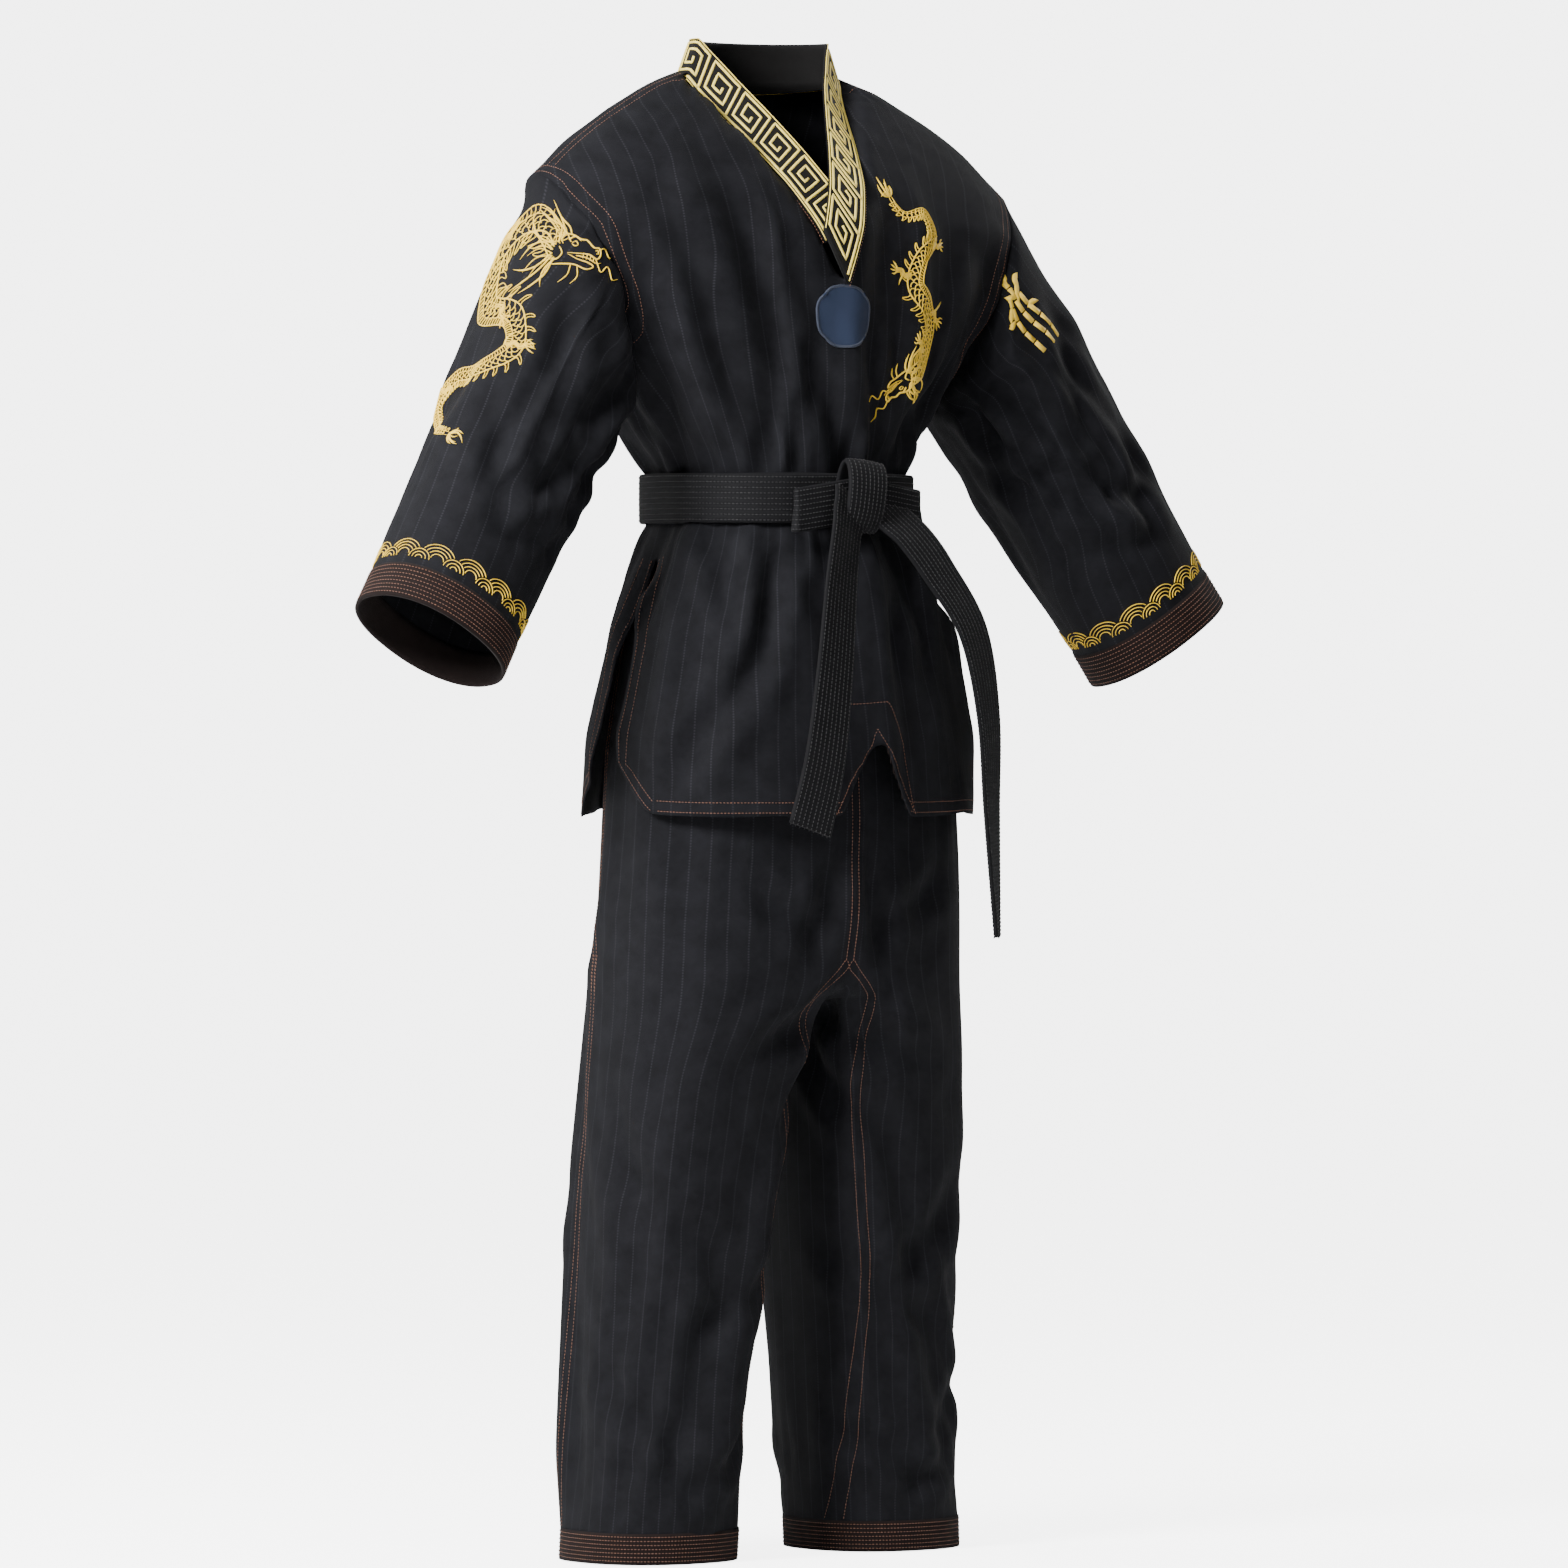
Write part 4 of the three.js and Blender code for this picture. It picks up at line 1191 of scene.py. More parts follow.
@dataclass
class Jacket:
    """The jacket's body from shoulders to hem, with its collar, label and chest embroidery."""

    wardrobe: Wardrobe
    stitcher: Stitcher
    rng: np.random.Generator
    columns: int = 124
    row_step: float = 0.0095
    wall: float = 0.0017
    hem: float = -0.295
    top: float = 0.398
    belt_half: float = 0.0235
    seam_side: float = 0.008
    collar_foot: float = 0.196
    collar_top: float = 0.386
    neck_half: float = 0.088
    neck_deep: float = 0.066
    neck_middle: float = 0.020
    armhole: Vector = field(default_factory=lambda: Vector((0.216, 0.008, 0.188)))
    armhole_tilt: float = math.radians(20.5)
    notch_middle: float = 0.010
    notch_half: float = 0.040
    notch_height: float = 0.074
    levels: Levels = field(default_factory=lambda: Levels([
        (-0.295, 0.190, 0.132, -0.012, 0.036), (-0.220, 0.187, 0.126, -0.010, 0.026),
        (-0.120, 0.167, 0.114, -0.006, 0.010), (-0.048, 0.134, 0.103, -0.002, 0.0),
        (-0.0225, 0.121, 0.096, 0.0, 0.0), (0.0225, 0.121, 0.096, 0.0, 0.0),
        (0.048, 0.134, 0.103, 0.003, 0.0), (0.100, 0.168, 0.110, 0.006, 0.0),
        (0.186, 0.238, 0.112, 0.008, 0.0), (0.250, 0.264, 0.106, 0.010, 0.0),
        (0.290, 0.258, 0.094, 0.012, 0.005), (0.330, 0.220, 0.076, 0.016, 0.011),
        (0.362, 0.166, 0.060, 0.022, 0.014), (0.385, 0.116, 0.047, 0.028, 0.013),
        (0.398, 0.076, 0.034, 0.032, 0.006)], 0.009))
    vent_front: tuple[tuple[float, float], ...] = ((-0.295, -0.058), (-0.252, -0.008), (-0.140, -0.008), (-0.048, 0.008))
    vent_back: tuple[tuple[float, float], ...] = ((-0.295, 0.084), (-0.252, 0.034), (-0.140, 0.024), (-0.048, 0.008))

    def ring(self, height: float, shares: Array, inset: float = 0.0) -> Array:
        """The jacket's outline at a height, as (x, y, z) rows."""
        half, deep, middle, flare = self.levels.at(height)
        flat = oval(half - inset, deep - inset, deep + flare - inset, POWER, shares)
        return np.column_stack([flat[:, 0], flat[:, 1] + middle, np.full(len(shares), height)])

    def front(self, x: float, height: float) -> float:
        """The chest's y at a place seen from the front."""
        half, deep, middle, _ = self.levels.at(height)
        return middle - deep * max(0.0, 1 - (abs(x) / half) ** POWER) ** (1 / POWER)

    def point_on_front(self, x: float, height: float) -> Vector:
        """A place on the drawn front."""
        return Vector((x, self.front(x, height), height))

    def vent_edge(self, height: float, line: tuple[tuple[float, float], ...]) -> float:
        """The y of a vent's edge at a height."""
        return float(np.interp(height, [point[0] for point in line], [point[1] for point in line]))

    def hole_normal(self, side: Side) -> Vector:
        """The direction out through an armhole."""
        return Vector((side.value * math.cos(self.armhole_tilt), 0.0, -math.sin(self.armhole_tilt)))

    def hole_middle(self, side: Side) -> Vector:
        """The middle of an armhole."""
        return Vector((side.value * self.armhole.x, self.armhole.y, self.armhole.z))

    def draw(self, draping: Draping) -> None:
        """Draws the body, cuts its openings and readies it to hang."""
        rows = round((self.top - self.hem) / self.row_step) + 1
        heights = np.linspace(self.hem, self.top, rows)
        shares = np.arange(self.columns) / self.columns
        gathers, drapes = Folds((17, 26, 37), self.rng), Folds((6, 9, 14), self.rng)
        grid = []
        for height in heights:
            ring = self.ring(height, shares)
            away = abs(height) - self.belt_half
            gathered = 0.0062 * math.exp(-((away - 0.012) / 0.042) ** 2) if away > 0 else 0.0
            loose = ease((abs(height) - 0.03) / 0.10) * (1 - ease((height - 0.27) / 0.06))
            push = gathers.at(shares, height) * gathered + drapes.at(shares, height) * 0.0080 * loose
            out = ring[:, :2] - [0.0, self.levels.at(height)[2]]
            out /= np.linalg.norm(out, axis=1, keepdims=True)
            ring[:, :2] += out * push[:, None]
            grid.append(ring)
        grid = np.array(grid)
        rises = lengths_along(grid[:, self.columns // 2])
        round_trips = np.array([lengths_along(np.vstack([row, row[:1]]))[-1] for row in grid])
        widths = np.where(heights < 0.2, np.maximum(round_trips, 1.14), round_trips)
        widths = np.convolve(np.pad(widths, 4, mode="edge"), np.ones(9) / 9, "valid")
        obj = self._grid("jacket_body", grid, rises, widths)
        self._cut(obj)
        self._meet_collar(obj)
        self.cloth = Cloth(obj)
        points = coordinates(obj)
        fullness = np.interp(points[:, 2], [-0.295, -0.12, -0.03, 0.03, 0.10, 0.24, 0.33], [1.03, 1.09, 1.22, 1.22, 1.13, 1.07, 1.02])
        pattern = points * np.column_stack([fullness, fullness, np.full(len(points), 1.03)])
        forms = [self.ring(height, np.arange(48) / 48, 0.0075 if height < 0 else 0.013)
                 for height in np.linspace(self.hem - 0.002, self.top - 0.002, 40)]
        self.hang = draping.add(Hang(obj, self._pins(points), pattern, tube("torso_form", forms), 0.028))

    def _grid(self, name: str, grid: Array, rises: Array, widths: Array) -> bpy.types.Object:
        """Makes the body's mesh, the back and the front each with its own flat coordinates."""
        obj = grid_object(name, grid, 1.0, rises)
        layer = obj.data.uv_layers[CLOTH_UV].data
        index = 0
        for row in range(len(grid) - 1):
            for column in range(self.columns):
                for corner, below in ((column, row), (column + 1, row), (column + 1, row + 1), (column, row + 1)):
                    share, width = corner / self.columns, widths[below]
                    at_back = column < self.columns / 4 or column >= self.columns * 3 / 4
                    across = (share if share <= 0.5 else share - 1) * width + 3.0 if at_back else (share - 0.5) * width
                    if at_back and column >= self.columns * 3 / 4:
                        across = (share - 1) * width + 3.0
                    layer[index].uv = (across, rises[below])
                    index += 1
        return obj

    def _cut(self, obj: bpy.types.Object) -> None:
        """Opens the neck, the armholes, the side vents and the notch in the front hem."""
        slope = self.neck_half / (self.collar_top - self.collar_foot)

        def front_neck(place: Vector) -> float:
            return abs(place.x) - (place.z - self.collar_foot + 0.003) * slope

        def back_neck(place: Vector) -> float:
            reach = math.hypot(place.x / self.neck_half, (place.y - self.neck_middle) / self.neck_deep)
            return (reach - 1) * self.neck_deep

        def neck(place: Vector) -> float:
            if place.z < 0.15:
                return 0.3
            return front_neck(place) if place.y < self.neck_middle else min(back_neck(place), 0.3) if place.z > 0.3 else 0.3

        edit(obj, lambda mesh: (split_along(mesh, neck, lambda place: place.z > 0.16),
                                drop_faces(mesh, lambda place: neck(place) < 0)))
        for side in Side:
            normal, middle = self.hole_normal(side), self.hole_middle(side)

            def past_hole(place: Vector, normal: Vector = normal, middle: Vector = middle) -> float:
                return (place - middle).dot(normal)

            def near_hole(place: Vector, side: Side = side) -> bool:
                return place.x * side.value > 0.12 and 0.05 < place.z < 0.36

            edit(obj, lambda mesh: (split_along(mesh, past_hole, near_hole),
                                    drop_faces(mesh, lambda place: near_hole(place) and past_hole(place) > 0)))
        for line in (self.vent_front, self.vent_back):
            edit(obj, lambda mesh, line=line: split_along(
                mesh, lambda place: place.y - self.vent_edge(place.z, line),
                lambda place: abs(place.x) > 0.09 and place.z < -0.046))
        edit(obj, lambda mesh: drop_faces(mesh, lambda place: abs(place.x) > 0.09 and place.z < -0.05 and (
            self.vent_edge(place.z, self.vent_front) < place.y < self.vent_edge(place.z, self.vent_back))))

        def notch(place: Vector) -> float:
            return abs(place.x - self.notch_middle) - self.notch_half * (
                self.hem + self.notch_height - place.z) / self.notch_height

        edit(obj, lambda mesh: (
            split_along(mesh, notch, lambda place: place.y < 0 and place.z < -0.20 and abs(place.x) < 0.07),
            drop_faces(mesh, lambda place: place.y < 0 and place.z < -0.20 and notch(place) < 0)))

    def _meet_collar(self, obj: bpy.types.Object) -> None:
        """Draws the front neckline back to the standing part of the collar."""
        points = coordinates(obj)
        x, y, z = points.T
        rise = self.collar_top - self.collar_foot
        climb = np.clip((z - self.collar_foot) / rise, 0, 1)
        beside = np.abs(x) - self.neck_half * (z - self.collar_foot) / rise
        near = np.where((y < self.neck_middle) & (z > self.collar_foot), 1 - ease((beside - 0.004) / 0.050), 0)
        points[:, 1] += (self.neck_middle - y) * climb**3 * near
        set_coordinates(obj, points)

    def _pins(self, points: Array) -> Array:
        """Holds the cloth under the belt, round the neck and at the armholes."""
        x, y, z = points.T
        held = np.where(np.abs(z) < self.belt_half, 1.0, 0.0)
        slope = self.neck_half / (self.collar_top - self.collar_foot)
        beside = np.abs(x) - (z - self.collar_foot) * slope
        front = np.where((y < self.neck_middle) & (z > self.collar_foot - 0.02), 1 - ease((beside - 0.006) / 0.03), 0)
        reach = np.hypot(x / self.neck_half, (y - self.neck_middle) / self.neck_deep)
        behind = np.where((y >= self.neck_middle) & (z > 0.3), 1 - ease((reach - 1.15) / 0.5), 0)
        held = np.maximum(held, np.maximum(front, behind))
        for side in Side:
            normal, middle = np.array(self.hole_normal(side)), np.array(self.hole_middle(side))
            near = (x * side.value > 0.12) & (z > 0.05) & (z < 0.36)
            held = np.maximum(held, np.where(near & (np.abs((points - middle) @ normal) < 0.0035), 1.0, 0.0))
        return held

    def armhole_edge(self, side: Side) -> Array:
        """The drawn edge of an armhole, in order round it."""
        points = coordinates(self.cloth.piece)
        normal, middle = np.array(self.hole_normal(side)), np.array(self.hole_middle(side))
        rings = [ring for ring in boundary_loops(self.cloth.piece) if len(ring) > 20]
        spread = [np.abs((points[ring] - middle) @ normal).max() + np.linalg.norm(points[ring].mean(0) - middle) for ring in rings]
        return points[rings[int(np.argmin(spread))]]

    def _creases(self) -> list[Crease]:
        """The folds that the belt and the arms pull into the body."""
        creases = [
            Crease((-0.170, -0.080, -0.262), (-0.095, -0.118, -0.135), 0.0085, 0.015),
            Crease((-0.070, -0.100, -0.030), (-0.092, -0.118, -0.150), 0.0100, 0.013),
            Crease((-0.112, -0.060, -0.030), (-0.120, -0.100, -0.130), 0.0080, 0.012),
            Crease((-0.205, -0.050, 0.235), (-0.118, -0.050, 0.034), 0.0100, 0.018),
            Crease((-0.190, -0.080, 0.285), (-0.090, -0.095, 0.034), 0.0085, 0.015),
            Crease((-0.130, -0.070, 0.330), (-0.060, -0.100, 0.120), 0.0070, 0.016),
            Crease((0.205, -0.050, 0.235), (0.115, -0.050, 0.034), 0.0100, 0.018),
            Crease((0.190, -0.080, 0.150), (0.080, -0.100, 0.034), 0.0075, 0.014),
            Crease((0.060, -0.100, -0.030), (0.100, -0.120, -0.170), 0.0085, 0.015),
            Crease((0.095, -0.080, -0.030), (0.150, -0.080, -0.160), 0.0080, 0.014),
            Crease((0.0, -0.104, 0.032), (-0.030, -0.110, 0.130), 0.0070, 0.012),
        ]
        for _ in range(26):
            angle = float(self.rng.uniform(0, 2 * math.pi))
            rising = self.rng.random() < 0.55
            start, reach = (0.030, self.rng.uniform(0.06, 0.17)) if rising else (-0.030, -self.rng.uniform(0.06, 0.15))
            turned = angle + float(self.rng.normal(0, 0.16))
            creases.append(Crease((0.13 * math.sin(angle), -0.10 * math.cos(angle), start),
                                  (0.20 * math.sin(turned), -0.12 * math.cos(turned), start + reach),
                                  float(self.rng.uniform(0.004, 0.0085)), float(self.rng.uniform(0.010, 0.015))))
        for side in Side:
            for x, y, height, reach in ((0.10, 0.13, 0.20, 0.22), (0.17, 0.11, 0.26, 0.20), (0.05, 0.13, 0.14, 0.16)):
                creases.append(Crease((side.value * x, y, height), (side.value * x * 0.62, y, height - reach), 0.007, 0.016))
        return creases

    def finish(self) -> None:
        """Finishes the body and sews its seams and edges."""
        press(self.hang, self.cloth, self._creases())
        self.cloth.finish(self.wall)
        body = dress(self.cloth.piece, self.wardrobe.of(COTTON))
        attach(body, "jacket")
        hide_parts("jacket_front_panel", "jacket_back_panel")
        facing = self._facing()
        log.info("jacket body of %d faces, facing %s", len(body.data.polygons), facing.name)
        self._seams()

    def _facing(self) -> bpy.types.Object:
        """The facing behind the notch in the front hem."""
        xs, heights = np.linspace(-0.042, 0.060, 24), np.linspace(self.hem + 0.003, -0.186, 24)
        grid = []
        for height in heights:
            row = []
            for x in xs:
                place, normal = self.cloth.carry(self.point_on_front(float(x), float(height)))
                place = place - normal * (self.wall + 0.0012)
                hole = abs(x - self.notch_middle) < self.notch_half * (self.hem + self.notch_height - height) / self.notch_height
                row.append(tuple(place) if not hole else (np.nan,) * 3)
            grid.append(row)
        points = np.array(grid)
        count, faces, uvs = len(xs), [], []
        for row in range(len(heights) - 1):
            for column in range(count - 1):
                corners = [(row, column), (row, column + 1), (row + 1, column + 1), (row + 1, column)]
                if not np.isnan(sum(points[corner][0] for corner in corners)):
                    faces.append([first * count + second for first, second in corners])
                    uvs += [(float(xs[second]), float(heights[first])) for first, second in corners]
        obj = mesh_object("hem_facing", np.nan_to_num(points).reshape(-1, 3), faces, uvs)
        edit(obj, lambda mesh: bmesh.ops.delete(mesh, geom=[vertex for vertex in mesh.verts if not vertex.link_faces],
                                                context="VERTS"))
        dress(thickened(obj, 0.0012, 1), self.wardrobe.of(LINING))
        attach(obj, "jacket")
        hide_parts("hem_notch_facing")
        return obj

    def _seams(self) -> None:
        """Sews the double rows at the armholes, shoulders, vents and hems."""
        rows = []
        around = np.linspace(0, 2 * np.pi, 90)
        for side in Side:
            for inward in (0.004, 0.011):
                rows.append([self.cloth.carry(self._beside_armhole(side, angle, inward)) for angle in around])
            for y in (0.012, 0.023):
                line = [Vector((side.value * x, y, self._ridge(x, y))) for x in np.linspace(0.094, 0.243, 40)]
                rows.append([self.cloth.carry(place) for place in line])
            for edge, away in ((self.vent_front, -1), (self.vent_back, 1)):
                for inward in (0.004, 0.0145):
                    rows.append(self._vent_row(side, edge, away, inward))
        for inward in (0.004, 0.0145):
            height = self.hem + inward
            rows.append(self._hem_row(height, -0.179, self.notch_middle - self.notch_half, True))
            rows.append(self._hem_row(height, self.notch_middle + self.notch_half, 0.179, True))
            rows.append(self._hem_row(height, -0.165, 0.165, False))
        trapezoid = [(-0.042, self.hem + 0.003), (-0.031, -0.2275), (-0.013, -0.190), (0.024, -0.190), (0.045, -0.2275),
                     (0.056, self.hem + 0.003)]
        outline = straight_path(trapezoid, 0.006)
        rows.append([self.cloth.carry(self.point_on_front(x, z)) for x, z in outline])
        notch = [(self.notch_middle - self.notch_half - 0.006, self.hem + 0.003), (self.notch_middle, self.hem + self.notch_height + 0.006),
                 (self.notch_middle + self.notch_half + 0.006, self.hem + 0.003)]
        rows.append([self.cloth.carry(self.point_on_front(x, z)) for x, z in straight_path(notch, 0.006)])
        for back in (0.25, 0.262):
            rows.append([self.cloth.carry(Vector((x, 0.2, back + 0.02 * abs(x)))) for x in np.linspace(-0.215, 0.215, 60)])
        sewn = self.stitcher.sew("jacket_seams", rows, self.wardrobe.of(COPPER))
        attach(sewn, "jacket")

    def _beside_armhole(self, side: Side, angle: float, inward: float) -> Vector:
        """A place on the drawn body, a little in from an armhole's edge."""
        normal, middle = self.hole_normal(side), self.hole_middle(side)
        up = Vector((side.value * math.sin(self.armhole_tilt), 0, math.cos(self.armhole_tilt)))
        away = up * math.cos(angle) + Vector((0, 1, 0)) * math.sin(angle)
        hit, _, _, _ = self.cloth.drawn.tree.ray_cast(middle - normal * inward, away, 0.3)
        return hit or middle + away * 0.1

    def _ridge(self, x: float, y: float) -> float:
        """The shoulder's height at a place seen from above."""
        hit, _, _, _ = self.cloth.drawn.tree.ray_cast(Vector((x, y, 1)), Vector((0, 0, -1)))
        return hit.z if hit else 0.3

    def _side(self, side: Side, y: float, height: float) -> Vector:
        """A place on the drawn body as seen from the side."""
        hit, _, _, _ = self.cloth.drawn.tree.ray_cast(Vector((side.value, y, height)), Vector((-side.value, 0, 0)))
        return hit or Vector((side.value * self.levels.at(height)[0], y, height))

    def _vent_row(self, side: Side, edge: tuple[tuple[float, float], ...], away: int, inward: float) -> list:
        """One row beside a vent's edge, down to the corner of the hem."""
        heights = np.linspace(-0.056, self.hem + inward, 46)
        slanted = 1.35
        return [self.cloth.carry(self._side(side, self.vent_edge(height, edge) + away * inward *
                                            (slanted if height < -0.252 else 1.0), float(height))) for height in heights]

    def _hem_row(self, height: float, start: float, end: float, front: bool) -> list:
        """One row along the hem between two places."""
        row = []
        for x in np.linspace(start, end, 44):
            if front:
                place = self.point_on_front(float(x), height)
            else:
                hit, _, _, _ = self.cloth.drawn.tree.ray_cast(Vector((x, 1, height)), Vector((0, -1, 0)))
                place = hit or Vector((x, 0.15, height))
            row.append(self.cloth.carry(place))
        return row


class Collar(Strap):
    """The neckband: up the right lapel, round the back of the neck and down the left lapel."""

    def __init__(self, jacket: Jacket, width: float = 0.042, thickness: float = 0.0032, steps: int = 150) -> None:
        """Measures the band, which starts under its own other end."""
        self.jacket, self.steps = jacket, steps
        self.rise = jacket.collar_top - jacket.collar_foot
        super().__init__("collar_band", [Vector()] * steps, [Vector()] * steps, width, thickness)
        middles = np.array([tuple(self._surface(step / (steps - 1), width / 2)) for step in range(steps)])
        self.length = lengths_along(middles)

    def _surface(self, share: float, away: float) -> Vector:
        """The band's middle layer.

        Args:
            share: 0 to 1 along the band.
            away: The distance from its outer seam.

        Returns:
            The place.
        """
        lapel = 0.36
        if lapel <= share <= 1 - lapel:
            angle = math.pi * (1 - (share - lapel) / (1 - 2 * lapel))
            out = Vector((math.cos(angle), math.sin(angle), 0))
            edge = Vector((self.jacket.neck_half * out.x, self.jacket.neck_middle + self.jacket.neck_deep * out.y,
                           self.jacket.collar_top))
            if away < 0:
                return edge + Vector((0, 0, away))
            return edge + (Vector((-0.36 * out.x, -0.36 * out.y, 1)).normalized() * away)
        left = share > 0.5
        climb = (1 - share) / lapel if left else share / lapel
        slope = self.jacket.neck_half / self.rise
        meeting = away * (0.913 - slope * 0.404) / (self.jacket.neck_half + slope * self.rise)
        start = meeting if left else 0.2
        climb = start + (1 - start) * climb
        lift = 0.0066 if left else 0.0014
        inward = Vector((-0.913 + 0.574 * climb**2, 0, 0.404 + 0.536 * climb**2)).normalized()
        x = self.jacket.neck_half * climb + inward.x * away
        height = self.jacket.collar_foot + self.rise * climb + inward.z * away
        edge_x, edge_height = self.jacket.neck_half * climb, self.jacket.collar_foot + self.rise * climb
        lying = self.jacket.front(x, min(height, 0.384))
        standing = self.jacket.front(edge_x, min(edge_height, 0.384))
        flat = lying + (standing - lying) * climb**2
        y = flat + (self.jacket.neck_middle - flat) * climb**3 - lift * (1 - climb**4)
        return Vector((x if left else -x, y, height))

    def spot(self, index: float, across: float) -> tuple[Vector, Vector]:
        """A place on the middle layer with its normal, across being from -1 at the outer seam to 1."""
        share, small = index / (self.steps - 1), 0.004
        away = (1 + across) / 2 * self.width
        if -1.0 <= across < -0.915 and 0.36 < share < 0.64:
            away = -0.007 * math.sin(math.pi * (share - 0.36) / 0.28)
        place = self._surface(share, away)
        along = self._surface(min(1.0, share + small), away) - self._surface(max(0.0, share - small), away)
        over = self._surface(share, away + 0.001) - self._surface(share, away - 0.001)
        return place, over.cross(along).normalized()

    def drawing(self, across: float, up: float) -> tuple[Vector, Vector]:
        """The band's face as a flat drawing: across runs along it and up is the distance from its outer seam."""
        index = float(np.interp(across, self.length, np.arange(self.steps)))
        place, normal = self.spot(index, 2 * up / self.width - 1)
        return place + normal * (self.thickness / 2), normal


@dataclass
class Sleeve:
    """One wide sleeve with its stitched cuff and the border of waves above it."""

    side: Side
    jacket: Jacket
    columns: int = 76
    rows: int = 42
    wall: float = 0.0016
    cuff_middle: Vector = field(default_factory=lambda: Vector((0.420, -0.040, -0.131)))
    cuff_band: float = 0.034
    levels: Levels = field(default_factory=lambda: Levels([
        (0.0, 0.098, 0.086), (0.066, 0.093, 0.082), (0.1107, 0.087, 0.078), (0.2367, 0.079, 0.068),
        (0.3477, 0.075, 0.061), (0.3817, 0.0755, 0.0615)], 0.02))

    def __post_init__(self) -> None:
        """Works out the sleeve's own directions."""
        self.start = self.jacket.hole_middle(self.side)
        end = Vector((self.side.value * self.cuff_middle.x, self.cuff_middle.y, self.cuff_middle.z))
        self.length = (end - self.start).length
        self.down = (end - self.start).normalized()
        out = Vector((-self.down.z * self.side.value, 0, self.down.x * self.side.value)).normalized()
        self.out = out if out.z > 0 else -out
        self.beside = (-self.down).cross(self.out)

    def ring(self, along: float, shares: Array, inset: float = 0.0) -> Array:
        """The sleeve's outline some way down it, from the underarm."""
        across, deep = self.levels.at(along)
        flat = oval(across - inset, deep - inset, deep - inset, 2.2, (shares + 0.25) % 1.0)
        middle = np.array(self.start + self.down * along)
        return middle + flat[:, :1] * np.array(self.out) + flat[:, 1:] * np.array(self.beside)

    def draw(self, draping: Draping) -> None:
        """Draws the sleeve from the armhole's own edge and readies it to hang."""
        shares = np.arange(self.columns) / self.columns
        edge = self.jacket.armhole_edge(self.side)
        folds = Folds((4, 7, 10), self.jacket.rng)
        first = self.ring(0.0, shares)
        seam = self._seam(edge, first)
        alongs = np.linspace(self.length, 0.0, self.rows)
        grid = []
        for along in alongs:
            ring = self.ring(float(along), shares)
            out = ring - np.array(self.start + self.down * float(along))
            out /= np.linalg.norm(out, axis=1, keepdims=True)
            loose = ease(along / 0.08) * (1 - ease((along - 0.24) / 0.06))
            ring = ring + out * (folds.at(shares, float(along) * 2.5) * 0.0055 * loose)[:, None]
            joined = float(ease(along / 0.095))
            grid.append((seam + np.array(self.down) * along) * (1 - joined) + ring * joined)
        grid = np.array(grid)
        rises = self.length - alongs
        obj = grid_object(f"{self.side.label}_sleeve_cloth", grid, 1.0, rises)
        widths = [lengths_along(np.vstack([row, row[:1]]))[-1] for row in grid]
        layer, index = obj.data.uv_layers[CLOTH_UV].data, 0
        for row in range(self.rows - 1):
            for column in range(self.columns):
                for corner, at in ((column, row), (column + 1, row), (column + 1, row + 1), (column, row + 1)):
                    layer[index].uv = ((corner / self.columns - 0.5) * widths[at], rises[at])
                    index += 1
        self.cloth = Cloth(obj)
        points = coordinates(obj)
        pins = np.repeat(ease((alongs - 0.270) / 0.035), self.columns)
        pins[-self.columns:] = 1.0
        middle = np.array(self.start)
        forms = [self.ring(float(along), np.arange(32) / 32, 0.015) for along in np.linspace(self.length, -0.01, 20)]
        pattern = middle + (points - middle) * 1.08
        self.hang = draping.add(Hang(obj, pins, pattern, tube(f"{self.side.label}_arm_form", forms), 0.026))

    def _seam(self, edge: Array, first: Array) -> Array:
        """The armhole edge's place for each of the sleeve's columns, by its angle round the hole."""
        middle, normal = np.array(self.start), np.array(self.jacket.hole_normal(self.side))
        up = np.array((self.side.value * math.sin(self.jacket.armhole_tilt), 0, math.cos(self.jacket.armhole_tilt)))
        aside = np.cross(normal, up)

        def angles(points: Array) -> Array:
            """Each point's angle round the hole."""
            return np.arctan2((points - middle) @ aside, (points - middle) @ up)

        order = np.argsort(angles(edge))
        turned, sorted_edge = angles(edge)[order], edge[order]
        wanted = angles(first)
        seam = np.column_stack([np.interp(wanted, turned, column, period=2 * np.pi) for column in sorted_edge.T])
        away = seam - middle
        return seam + away / np.linalg.norm(away, axis=1, keepdims=True) * 0.0006

    def _around_axis(self, along: float, turn: float) -> Vector:
        """A place on the drawn sleeve, turn being 0 at its outer side and 1/4 at the wearer's front."""
        across, deep = self.levels.at(along)
        angle = 2 * math.pi * turn
        return (self.start + self.down * along + self.out * across * math.cos(angle)
                + Vector((0, -1, 0)) * deep * math.sin(angle))

    def _creases(self) -> list[Crease]:
        """The folds at the underarm and round the elbow."""
        given = (
            (0.030, 0.36, 0.150, 0.27, 0.0100, 0.016), (0.045, 0.44, 0.175, 0.34, 0.0090, 0.014),
            (0.140, 0.46, 0.205, 0.24, 0.0095, 0.013), (0.190, 0.40, 0.235, 0.18, 0.0080, 0.012),
            (0.175, 0.10, 0.275, 0.22, 0.0070, 0.014), (0.035, 0.14, 0.130, 0.20, 0.0060, 0.015),
            (0.120, 0.02, 0.220, -0.06, 0.0060, 0.015), (0.040, -0.30, 0.170, -0.22, 0.0090, 0.016),
            (0.150, -0.42, 0.230, -0.24, 0.0080, 0.014), (0.245, 0.36, 0.290, 0.20, 0.0060, 0.011),
        )
        return [Crease(self._around_axis(first, turn), self._around_axis(last, end), depth, width)
                for first, turn, last, end, depth, width in given]

